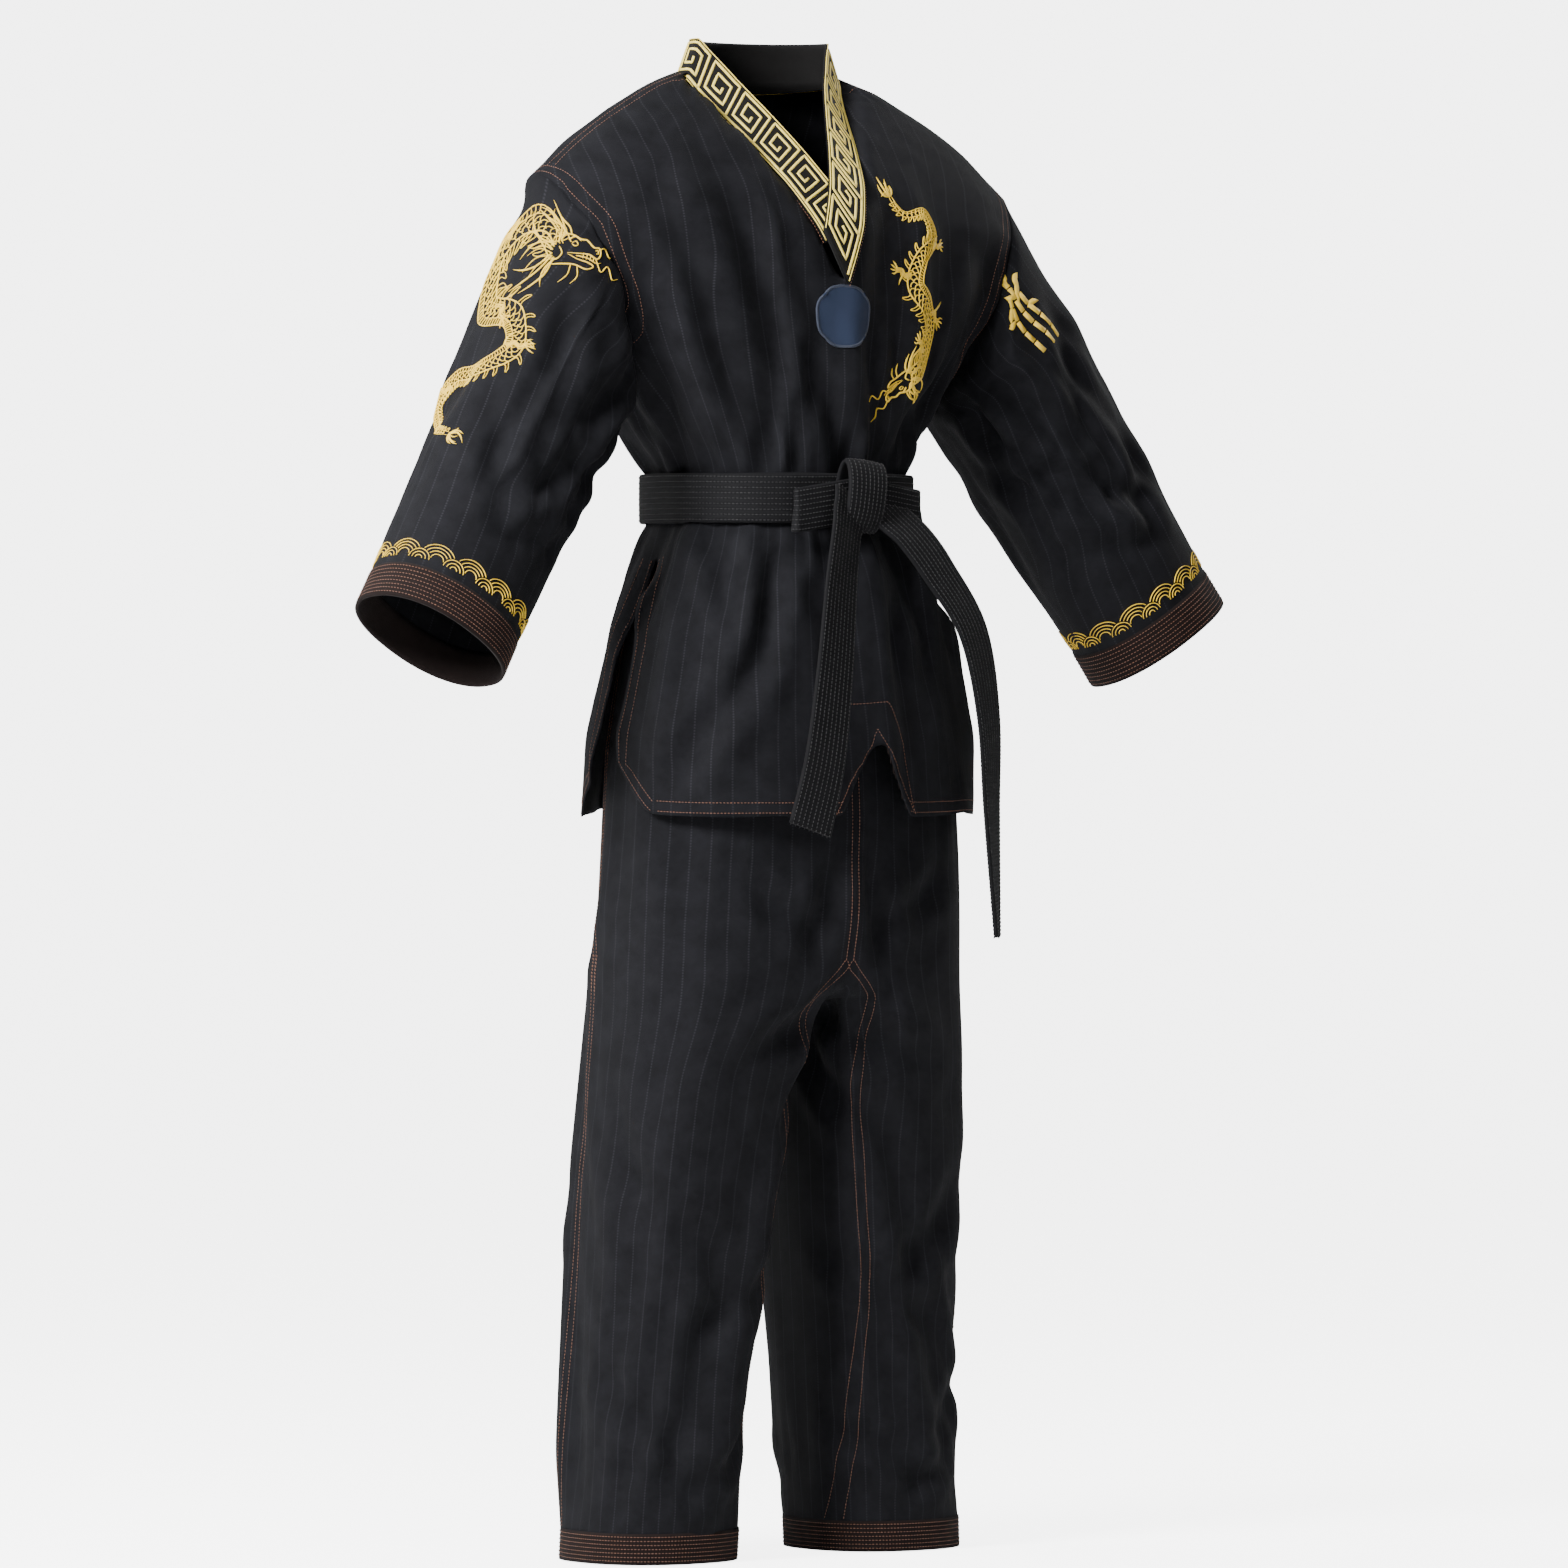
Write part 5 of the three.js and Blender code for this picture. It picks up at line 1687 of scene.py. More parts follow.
    def ride(self, piece: bpy.types.Object) -> bpy.types.Object:
        """Bakes a piece's placement into its mesh."""
        start, end = self.start + self.down * 0.004, self.start + self.down * 0.105
        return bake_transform(piece, "jacket", f"{self.side.label}_sleeve", tuple(start), tuple(end))

    def finish(self) -> None:
        """Finishes the sleeve, its cuff, its border and its stitching."""
        jacket, label = self.jacket, self.side.label
        press(self.hang, self.cloth, self._creases())
        self.cloth.finish(self.wall)
        piece = dress(self.cloth.piece, jacket.wardrobe.of(COTTON))
        self.ride(piece)
        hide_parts(f"{label}_sleeve_head", f"{label}_sleeve")
        cuff = ring_band(f"{label}_cuff_cloth", self._around(self.cuff_band, 8, -0.0007), 0.0029)
        dress(cuff, jacket.wardrobe.of(LINING))
        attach(cuff, f"{label}_sleeve")
        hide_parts(f"{label}_cuff_band")
        shares = np.arange(96) / 96
        rows = []
        for away in np.linspace(0.0028, self.cuff_band - 0.003, 8):
            ring = self.ring(self.length - float(away), shares, -0.0009)
            out = ring - np.array(self.start + self.down * (self.length - float(away)))
            rows.append([(Vector(place), Vector(normal).normalized()) for place, normal in zip(ring, out)])
        sewn = jacket.stitcher.sew(f"{label}_cuff_stitches", rows, jacket.wardrobe.of(COPPER), closed=True)
        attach(sewn, f"{label}_sleeve")
        self._waves(label)
        log.info("%s sleeve", label)

    def _around(self, reach: float, count: int, inset: float) -> Array:
        """Rings over the cuff's end of the sleeve, upwards."""
        shares = np.arange(96) / 96
        return np.array([self.ring(self.length - float(away), shares, inset) for away in np.linspace(-0.0006, reach, count)])

    def _waves(self, label: str) -> None:
        """Embroiders overlapping waves, each of three arcs, in a border above the cuff."""
        waves = Thread(f"{label}_wave_border_thread")
        base = self.cuff_band + 0.0075
        girth = lengths_along(np.vstack([ring := self.ring(self.length - base - 0.01, np.arange(96) / 96), ring[:1]]))[-1]
        count = round(girth / 0.034)
        pitch = girth / count
        near, far = pitch * 0.31, pitch * 0.52

        def place(across: float, up: float) -> tuple[Vector, Vector]:
            """The border's own flat drawing, once round the sleeve."""
            return self.cloth.rested.place(across - girth / 2, up)

        for index in range(count):
            front, behind = (index + 0.5) * pitch, index * pitch
            for share in (0.95, 0.62, 0.30):
                arc = [(front + near * share * math.cos(angle), 0.92 * near * share * math.sin(angle))
                       for angle in np.linspace(0.03, math.pi - 0.03, 17)]
                arc = [(x, base + y) for x, y in arc]
                waves.draw(place, arc, 0.0008, 0.0010)
            for share in (0.97, 0.76, 0.55, 0.34):
                arc = [(behind + far * share * math.cos(angle), 0.003 + 0.84 * far * share * math.sin(angle))
                       for angle in np.linspace(0.0, math.pi, 29)]
                arc = [(x % girth, base + y) for x, y in arc if self._clear(x, y, pitch, near)]
                for run in self._runs(arc):
                    waves.draw(place, run, 0.0008, 0.0010)
        made = waves.made(self.jacket.wardrobe.of(GOLD))
        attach(made, f"{label}_sleeve")
        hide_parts(f"{label}_wave_border")

    @staticmethod
    def _clear(across: float, up: float, pitch: float, radius: float) -> bool:
        """Whether a point of the back row isn't behind the front row."""
        nearest = (math.floor(across / pitch) + 0.5) * pitch
        return math.hypot(across - nearest, up / 0.92) > radius * 1.04

    @staticmethod
    def _runs(points: list[tuple[float, float]]) -> list[list[tuple[float, float]]]:
        """Splits an arc where part of it was taken away or where it passes the seam."""
        runs: list[list[tuple[float, float]]] = [[]]
        for point in points:
            if runs[-1] and math.dist(runs[-1][-1], point) > 0.004:
                runs.append([])
            runs[-1].append(point)
        return [run for run in runs if len(run) > 2]


def ring_band(name: str, rings: Array, thickness: float) -> bpy.types.Object:
    """A closed band from rings that run upwards, its outer face on the rings."""
    girth = lengths_along(np.vstack([rings[0], rings[0][:1]]))[-1]
    rises = lengths_along(rings[:, 0])
    return thickened(grid_object(name, rings, girth, rises), thickness, 0)


@dataclass
class Trousers:
    """The trousers: a gathered waist, the hips and two straight legs with stitched hems."""

    wardrobe: Wardrobe
    stitcher: Stitcher
    rng: np.random.Generator
    half_columns: int = 52
    inner_columns: int = 22
    wall: float = 0.0016
    waist: float = -0.019
    fork: float = -0.428
    crotch: float = -0.4460
    hem: float = -0.975
    hem_band: float = 0.028
    outer_share: float = 0.70
    hips: Levels = field(default_factory=lambda: Levels([
        (-0.436, 0.188, 0.116, 0.002), (-0.295, 0.181, 0.119, -0.006), (-0.220, 0.177, 0.114, -0.006),
        (-0.120, 0.156, 0.102, -0.004), (-0.048, 0.124, 0.092, -0.001), (-0.010, 0.1150, 0.0900, 0.0)], 0.010))
    legs: Levels = field(default_factory=lambda: Levels([
        (-0.975, 0.1295, 0.078, 0.0785, 0.0245), (-0.947, 0.128, 0.078, 0.079, 0.024),
        (-0.800, 0.121, 0.081, 0.083, 0.020), (-0.645, 0.111, 0.087, 0.091, 0.014),
        (-0.552, 0.103, 0.088, 0.098, 0.009), (-0.495, 0.100, 0.090, 0.105, 0.006),
        (-0.440, 0.097, 0.091, 0.112, 0.003)], 0.014))

    def hip_ring(self, height: float, shares: Array, inset: float = 0.0) -> Array:
        """The hips' outline at a height."""
        half, deep, middle = self.hips.at(height)
        flat = oval(half - inset, deep - inset, deep - inset, 2.5, shares)
        return np.column_stack([flat[:, 0], flat[:, 1] + middle, np.full(len(flat), height)])

    def leg_ring(self, side: Side, height: float, shares: Array, inset: float = 0.0) -> Array:
        """A leg's outline at a height."""
        away, half, deep, middle = self.legs.at(height)
        flat = oval(half - inset, deep - inset, deep - inset, 2.3, shares % 1.0)
        return np.column_stack([flat[:, 0] + side.value * away, flat[:, 1] + middle, np.full(len(flat), height)])

    def draw(self, draping: Draping) -> None:
        """Draws the hips and both legs as one surface and readies it to hang."""
        half, inner = self.half_columns, self.inner_columns
        columns = 2 * half
        shares = np.arange(columns) / columns
        heights = np.linspace(self.fork, self.waist, 40)
        gathers, drapes = Folds((19, 31), self.rng), Folds((3, 7, 11), self.rng)
        grid = []
        for height in heights:
            ring = self.hip_ring(float(height), shares)
            push = gathers.at(shares, height) * 0.0030 * math.exp(-((height + 0.03) / 0.05) ** 2)
            push = push + drapes.at(shares, height) * 0.0022 * ease((-height - 0.05) / 0.1) * ease((height - self.fork) / 0.1)
            ring[:, :2] *= (1 + push / np.linalg.norm(ring[:, :2], axis=1))[:, None]
            grid.append(ring)
        grid = np.array(grid)
        width = 0.98
        points = [row for row in grid.reshape(-1, 3)]
        faces, uvs, marks = [], [], []
        for row in range(len(heights) - 1):
            for column in range(columns):
                beyond = (column + 1) % columns
                faces.append((row * columns + column, row * columns + beyond,
                              (row + 1) * columns + beyond, (row + 1) * columns + column))
                low, high = width * column / columns, width * (column + 1) / columns
                uvs += [(low, heights[row]), (high, heights[row]), (high, heights[row + 1]), (low, heights[row + 1])]
                marks.append(0)
        drop = np.linspace(0, 1, inner + 1)[1:-1]
        front, back = grid[0, half], grid[0, 0]
        seat = [np.array((0.0, front[1] + (back[1] - front[1]) * share,
                          self.fork + (self.crotch - self.fork) * math.sin(math.pi * share) ** 0.55)) for share in drop]
        seat_start = len(points)
        points += seat
        rows = 58
        for side in (Side.RIGHT, Side.LEFT):
            if side is Side.RIGHT:
                top = list(range(half + 1)) + [seat_start + index for index in range(inner - 1)]
                outer = np.linspace(0.5 - self.outer_share / 2 + 0.25 - 0.25, 0.5 + self.outer_share / 2, half + 1) - 0.25
            else:
                top = [index % columns for index in range(half, columns + 1)]
                top += [seat_start + index for index in reversed(range(inner - 1))]
                outer = np.linspace(0.75 - self.outer_share / 2, 0.75 + self.outer_share / 2, half + 1)
            rest = np.linspace(outer[-1], outer[0] + 1, inner + 1)[1:-1]
            ring_shares = np.concatenate([outer, rest])
            count = len(top)
            tops = np.array([points[index] for index in top])
            folds = Folds((3, 5, 8), self.rng)
            previous = top
            flats = np.arange(count + 1) * (width / columns) + (0 if side is Side.RIGHT else width / 2)
            flats = flats + (0.0 if side is Side.RIGHT else 2.6)
            fall = np.linspace(0, 1, rows + 1) ** 0.93
            before = tops[:, 2]
            for row in range(1, rows + 1):
                down = tops[:, 2] + (self.hem - tops[:, 2]) * fall[row]
                height = float(down[: half].mean())
                ring = self.leg_ring(side, max(height, self.hem), ring_shares)
                push = folds.at(ring_shares, height) * 0.0062 * ease((self.fork - height) / 0.14) * ease((height + 0.965) / 0.10)
                middle = ring.mean(0)
                out = ring[:, :2] - middle[:2]
                ring[:, :2] += out / np.linalg.norm(out, axis=1, keepdims=True) * push[:, None]
                joined = float(ease((self.fork - height) / 0.115))
                place = tops * (1 - joined) + ring * joined
                place[:, 2] = down
                start = len(points)
                points += list(place)
                current = list(range(start, start + count))
                for column in range(count):
                    beyond = (column + 1) % count
                    faces.append((current[column], current[beyond], previous[beyond], previous[column]))
                    low, high = flats[column], flats[column + 1]
                    uvs += [(low, down[column]), (high, down[beyond]), (high, before[beyond]), (low, before[column])]
                    marks.append(1 if side is Side.RIGHT else 2)
                previous, before = current, down
        obj = mesh_object("trousers_cloth", np.array(points), faces, uvs)
        for _ in range(3):
            obj.data.materials.append(self.wardrobe.of(COTTON))
        obj.data.polygons.foreach_set("material_index", marks)
        self.cloth = Cloth(obj)
        drawn = coordinates(obj)
        pins = np.maximum(ease((drawn[:, 2] + 0.050) / 0.02), ease((-0.930 - drawn[:, 2]) / 0.025))
        forms = [self.hip_ring(float(height), np.arange(40) / 40, 0.011) for height in np.linspace(self.fork - 0.02, 0.0, 18)]
        body = tube("hip_form", forms)
        for side in Side:
            rings = [self.leg_ring(side, float(height), np.arange(32) / 32, 0.012)
                     for height in np.linspace(self.hem, self.fork - 0.005, 26)]
            leg = tube(f"{side.label}_leg_form", rings)
            edit(body, lambda mesh, leg=leg: mesh.from_mesh(leg.data))
            bpy.data.objects.remove(leg)
        self.hang = draping.add(Hang(obj, pins, drawn * 1.055, body, 0.026))

    def finish(self) -> None:
        """Finishes the cloth, parts it where the legs swing, and adds the bands and seams."""
        press(self.hang, self.cloth, self._creases())
        self.cloth.round_off()
        names = {0: "trouser_hips", 1: "right_trouser_leg", 2: "left_trouser_leg"}
        whole = self.cloth.piece
        attribute = whole.data.attributes.new("whole_normal", "FLOAT_VECTOR", "POINT")
        attribute.data.foreach_set("vector", [part for normal in self.cloth.rested.normals for part in normal])
        for mark, name in names.items():
            piece = self._part(whole, mark, name)
            if mark:
                side = Side.RIGHT if mark == 1 else Side.LEFT
                self.ride_leg(piece, side)
                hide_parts(f"{side.label}_thigh", f"{side.label}_leg")
            else:
                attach(piece, "trousers")
                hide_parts("trouser_front_panel", "trouser_back_panel", "crotch_gusset")
        bpy.data.objects.remove(whole)
        self._bands()
        self._seams()
        log.info("trousers")

    def _on_leg(self, side: Side, height: float, turn: float) -> Vector:
        """A place on a drawn leg, turn being 0 at its outer side and 1/4 at its front."""
        away, half, deep, middle = self.legs.at(height)
        angle = 2 * math.pi * turn
        return Vector((side.value * (away + half * math.cos(angle)), middle - deep * math.sin(angle), height))

    def _creases(self) -> list[Crease]:
        """The folds at the fork, the knees and above the hems."""
        given = (
            (-0.450, 0.42, -0.520, 0.24, 0.0085, 0.015), (-0.480, 0.46, -0.600, 0.30, 0.0080, 0.015),
            (-0.620, 0.10, -0.730, 0.30, 0.0070, 0.017), (-0.690, 0.40, -0.770, 0.20, 0.0065, 0.015),
            (-0.640, -0.12, -0.760, -0.30, 0.0070, 0.017), (-0.800, 0.05, -0.890, 0.22, 0.0065, 0.015),
            (-0.850, 0.40, -0.915, 0.22, 0.0070, 0.013), (-0.885, 0.12, -0.925, 0.30, 0.0060, 0.011),
            (-0.560, 0.04, -0.700, 0.10, 0.0060, 0.018), (-0.480, -0.20, -0.620, -0.30, 0.0070, 0.018),
            (-0.830, -0.20, -0.910, -0.38, 0.0070, 0.014),
        )
        creases = [Crease(self._on_leg(side, first, turn + 0.02 * side.value), self._on_leg(side, last, end), depth, width)
                   for side in Side for first, turn, last, end, depth, width in given]
        creases += [Crease((side.value * 0.03, -0.12, -0.40), (side.value * 0.13, -0.11, -0.345), 0.006, 0.013) for side in Side]
        creases += [Crease((side.value * 0.02, -0.12, -0.33), (side.value * 0.05, -0.12, -0.43), 0.008, 0.014) for side in Side]
        return creases

    def _part(self, whole: bpy.types.Object, mark: int, name: str) -> bpy.types.Object:
        """Takes one part out of the whole cloth, shaded as if it were still joined.

        Args:
            whole: The rounded cloth, its parts told apart by their material's number.
            mark: The part's number.
            name: The new piece's name.

        Returns:
            The part with its wall.
        """
        piece = link(name, whole.data.copy())
        piece.data.name = name

        def keep(mesh: bmesh.types.BMesh) -> None:
            bmesh.ops.delete(mesh, geom=[face for face in mesh.faces if face.material_index != mark], context="FACES")
            for face in mesh.faces:
                face.material_index = 0

        edit(piece, keep)
        outer = len(piece.data.vertices)
        dress(thickened(piece, self.wall, 0), self.wardrobe.of(COTTON))
        kept = [value.vector.copy() for value in piece.data.attributes["whole_normal"].data]
        piece.data.normals_split_custom_set_from_vertices(
            [normal if index < outer else -normal for index, normal in enumerate(kept)])
        piece.data.attributes.remove(piece.data.attributes["whole_normal"])
        return piece

    def ride_leg(self, piece: bpy.types.Object, side: Side) -> bpy.types.Object:
        """Bakes a piece's placement into its mesh."""
        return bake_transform(piece)

    def _bands(self) -> None:
        """The hem bands, the waistband and the elastic inside it."""
        shares = np.arange(100) / 100
        for side in Side:
            rings = [self.leg_ring(side, float(z), shares, -0.0007) for z in np.linspace(self.hem - 0.0006, self.hem + self.hem_band, 7)]
            band = ring_band(f"{side.label}_hem_cloth", np.array(rings), 0.0029)
            dress(band, self.wardrobe.of(LINING))
            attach(band, f"{side.label}_leg")
            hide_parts(f"{side.label}_leg_hem_band")
            rows = []
            for height in np.linspace(self.hem + 0.0028, self.hem + self.hem_band - 0.003, 7):
                ring = self.leg_ring(side, float(height), shares, -0.0009)
                out = ring - ring.mean(0)
                rows.append([(Vector(place), Vector(normal).normalized()) for place, normal in zip(ring, out)])
            sewn = self.stitcher.sew(f"{side.label}_hem_stitches", rows, self.wardrobe.of(COPPER), closed=True)
            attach(sewn, f"{side.label}_leg")
        fine = np.arange(420) / 420
        rings = []
        for height in np.linspace(-0.021, 0.021, 9):
            flat = oval(0.1164, 0.0914, 0.0914, POWER, fine)
            ripple = 0.0006 * np.sin(2 * np.pi * 62 * fine) * (1 - 0.5 * abs(height) / 0.021)
            flat *= (1 + (ripple - 0.0005) / np.linalg.norm(flat, axis=1))[:, None]
            rings.append(np.column_stack([flat, np.full(len(fine), height)]))
        band = dress(ring_band("waistband_cloth", np.array(rings), 0.0019), self.wardrobe.of(COTTON))
        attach(band, "trousers")
        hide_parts("waistband")
        rows = []
        for height in np.linspace(-0.016, 0.016, 4):
            flat = oval(0.1164, 0.0914, 0.0914, POWER, fine[::3])
            rows.append([(Vector((x, y, float(height))), Vector((x, y, 0)).normalized()) for x, y in flat])
        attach(self.stitcher.sew("waistband_stitches", rows, self.wardrobe.of(BLACK_THREAD), closed=True), "trousers")
        rings = []
        for height in np.linspace(-0.016, 0.016, 25):
            flat = oval(0.1142, 0.0892, 0.0892, POWER, fine[::3])
            rib = 0.0003 * math.sin(height * 2 * math.pi / 0.0045)
            flat *= (1 - (0.0004 - rib) / np.linalg.norm(flat, axis=1))[:, None]
            rings.append(np.column_stack([flat, np.full(len(flat), height)]))
        elastic = dress(ring_band("waist_elastic_web", np.array(rings), 0.0013), self.wardrobe.of(ELASTIC))
        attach(elastic, "trousers")
        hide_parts("waist_elastic")

    def _seams(self) -> None:
        """Sews the double rows down the sides and down the front of each leg."""
        tree = self.cloth.drawn.tree
        for side in Side:
            rows = []
            for shift in (-0.004, 0.004):
                front, outer = [], []
                for height in np.linspace(-0.420, self.hem + self.hem_band + 0.003, 98):
                    x = side.value * float(np.interp(height, [-0.975, -0.717, -0.46, -0.42], [0.056, 0.062, 0.030, 0.002])) + shift
                    hit, _, _, _ = tree.ray_cast(Vector((x, -1, height)), Vector((0, 1, 0)))
                    front.append(self.cloth.carry(hit or Vector((x, -0.08, height))))
                    y = self.legs.at(float(height))[3] + shift + 0.044
                    hit, _, _, _ = tree.ray_cast(Vector((side.value, y, height)), Vector((-side.value, 0, 0)))
                    outer.append(self.cloth.carry(hit or Vector((side.value * 0.19, y, height))))
                rows += [front, outer]
            sewn = self.stitcher.sew(f"{side.label}_leg_seams", rows, self.wardrobe.of(COPPER))
            self.ride_leg(sewn, side)
        rows = []
        for side in Side:
            for shift in (-0.004, 0.004):
                row = []
                for height in np.linspace(-0.05, -0.452, 56):
                    y = float(np.interp(height, [-0.46, -0.40], [self.legs.at(-0.46)[3] + 0.044, 0.050])) + shift
                    hit, _, _, _ = tree.ray_cast(Vector((side.value, y, height)), Vector((-side.value, 0, 0)))
                    row.append(self.cloth.carry(hit or Vector((side.value * 0.19, y, height))))
                rows.append(row)
        for shift in (-0.004, 0.004):
            row = []
            for height in np.linspace(-0.05, -0.418, 50):
                hit, _, _, _ = tree.ray_cast(Vector((shift, -1, height)), Vector((0, 1, 0)))
                row.append(self.cloth.carry(hit or Vector((shift, -0.1, height))))
            rows.append(row)
        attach(self.stitcher.sew("hip_seams", rows, self.wardrobe.of(COPPER)), "trousers")


@dataclass
class Belt:
    """The belt: two turns round the waist, a flat knot and two ends that hang down."""

    wardrobe: Wardrobe
    stitcher: Stitcher
    width: float = 0.045
    thickness: float = 0.0036
    rows: int = 9
    knot_x: float = 0.008
    knot_y: float = -0.1175

    def _sew(self, strap: Strap, both: bool = False) -> bpy.types.Object:
        """Covers a strap's face, or both faces, with rows of its own colour."""
        rows = strap.rows(self.rows)
        if both:
            rows += strap.rows(self.rows, outer=False)
        return self.stitcher.sew(strap.name + "_stitches", rows, self.wardrobe.of(BLACK_THREAD), pitch=0.0036,
                                 length=0.0030, thickness=0.0008, closed=strap.closed)

    def build(self) -> None:
        """Makes the turns, the knot, its ears and the two ends."""
        cloth = self.wardrobe.of(BELT_CLOTH)
        shares = np.arange(200) / 200
        for name, half, deep, lift in (("belt_inner_turn", 0.1252, 0.1002, 0.0), ("belt_outer_turn", 0.1294, 0.1044, 0.0)):
            flat = oval(half - self.thickness / 2, deep - self.thickness / 2, deep - self.thickness / 2, POWER, shares)
            wave = 0.0007 * np.sin(2 * np.pi * 3 * shares + half * 900)
            route = [Vector((x, y, float(z) + lift)) for (x, y), z in zip(flat, wave)]
            strap = Strap(name + "_web", route, [Vector((0, 0, 1))] * len(route), self.width, self.thickness, True, 0.0002)
            self._hang(strap, cloth, name, "jacket", (lengths_along(flat)[-1], self.width))
        self._knot(cloth)
        self._ends(cloth)
        log.info("belt")

    def _hang(self, strap: Strap, cloth: bpy.types.Material, node: str, body: str, flat: tuple[float, float],
              both: bool = False) -> None:
        """Makes one strap with its stitching and gives both their place."""
        piece, sewn = strap.made(cloth), self._sew(strap, both)
        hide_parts(node)
        for made in (piece, sewn):
            if body == "jacket":
                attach(made, body)
            else:
                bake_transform(made)

    def _knot(self, cloth: bpy.types.Material) -> None:
        """The loop over the middle and the two folded ears beside it."""
        lean = math.radians(7)
        route, sideways = [], []
        for angle in np.linspace(0, 2 * np.pi, 56, endpoint=False):
            y = -0.0102 * math.cos(angle) * (1 - 0.12 * math.sin(angle) ** 2)
            z = -0.0298 * math.copysign(abs(math.sin(angle)) ** 0.8, math.sin(angle))
            route.append(Vector((self.knot_x + z * math.sin(lean), self.knot_y + y, 0.002 + z * math.cos(lean))))
            sideways.append(Vector((math.cos(lean), 0.06 * math.sin(angle), -math.sin(lean))))
        loop = Strap("belt_knot_loop", route, sideways, 0.043, 0.0042, True, 0.0016)
        piece, sewn = loop.made(cloth), self._sew(loop)
        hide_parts("belt_knot")
        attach(piece, "jacket")
        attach(sewn, "jacket")
        for side, node, end, lean in ((Side.RIGHT, "belt_knot_right_wing", -0.063, 0.16),
                                      (Side.LEFT, "belt_knot_left_wing", 0.079, -0.20)):
            start = self.knot_x + side.value * 0.006
            middle_y = -0.1140 if side is Side.RIGHT else -0.1124
            route, sideways = [], []
            for angle in np.linspace(0, 2 * np.pi, 52, endpoint=False):
                reach = 0.5 - 0.5 * math.cos(angle)
                along = start + (end - start) * reach
                apart = 0.0026 + 0.0018 * math.sin(math.pi * min(1.0, reach)) ** 2
                y = middle_y - side.value * apart * math.copysign(abs(math.sin(angle)) ** 0.35, math.sin(angle)) * side.value
                route.append(Vector((along, y, -0.002 - 0.010 * reach)))
                sideways.append(Vector((math.sin(lean) * reach, 0, 1)))
            if side is Side.RIGHT:
                route.reverse()
                sideways.reverse()
            ear = Strap(f"belt_{side.label}_ear", route, sideways, 0.040, 0.0026, True, 0.0008)
            piece, sewn = ear.made(cloth), self._sew(ear)
            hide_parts(node)
            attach(piece, "jacket")
            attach(sewn, "jacket")

    def _ends(self, cloth: bpy.types.Material) -> None:
        """The two ends, each leaving the knot under its ear and hanging with a slow turn."""
        ends = {
            Side.RIGHT: ([(-0.004, -0.1165, 0.004), (-0.010, -0.1240, -0.014), (-0.018, -0.131, -0.0300), (-0.028, -0.136, -0.080),
                          (-0.043, -0.146, -0.160), (-0.061, -0.155, -0.240), (-0.082, -0.160, -0.303)], (0.40, -0.10)),
            Side.LEFT: ([(0.030, -0.1150, -0.002), (0.044, -0.1215, -0.018), (0.062, -0.130, -0.0370), (0.084, -0.136, -0.066),
                         (0.120, -0.142, -0.122), (0.138, -0.142, -0.200), (0.142, -0.142, -0.290), (0.150, -0.140, -0.403)],
                        (0.0, 0.85)),
        }
        for side, (points, (first, last)) in ends.items():
            path = smooth_path(points, 0.006)
            route = [Vector(point) for point in path]
            turns = np.linspace(first, last, len(route))
            sideways = [Vector((math.cos(turn), math.sin(turn), 0)) for turn in turns]
            label = side.label
            strap = Strap(f"belt_{label}_end", route, sideways, self.width, 0.0040, crown=0.0003)
            length = float(lengths_along(path)[-1])
            self._hang(strap, cloth, f"belt_{label}_tail", f"{label}_tail", (self.width, length), both=True)



# ---------------------------------------------------------------- embroidery


def key_pattern(collar: Collar, wardrobe: Wardrobe) -> bpy.types.Object:
    """Embroiders a running square spiral along the neckband, with a fine line beside each edge."""
    thread = Thread("key_pattern_thread")
    total = float(collar.length[-1])
    count = round((total - 0.008) / 0.039)
    pitch = (total - 0.008) / count
    low, high = 0.0042, collar.width - 0.0042
    step = (high - low) / 5
    spiral = [(0.0, low), (0.0, high), (0.83, high), (0.83, low + step), (0.19, low + step), (0.19, high - step),
              (0.64, high - step), (0.64, low + 2 * step), (0.38, low + 2 * step), (0.38, high - 2.1 * step)]
    for index in range(count):
        start = 0.004 + index * pitch
        cell = [(start + share * pitch, up) for share, up in spiral]
        thread.draw(collar.drawing, straight_path(cell, 0.0035), 0.0029, 0.0008)
        thread.draw(collar.drawing, straight_path([(start, low), (start + pitch, low)], 0.0035), 0.0029, 0.0008)
    for up in (0.0009, collar.width - 0.0009):
        thread.draw(collar.drawing, straight_path([(0.002, up), (total - 0.002, up)], 0.004), 0.0011, 0.0006)
    return thread.made(wardrobe.of(PALE_GOLD))


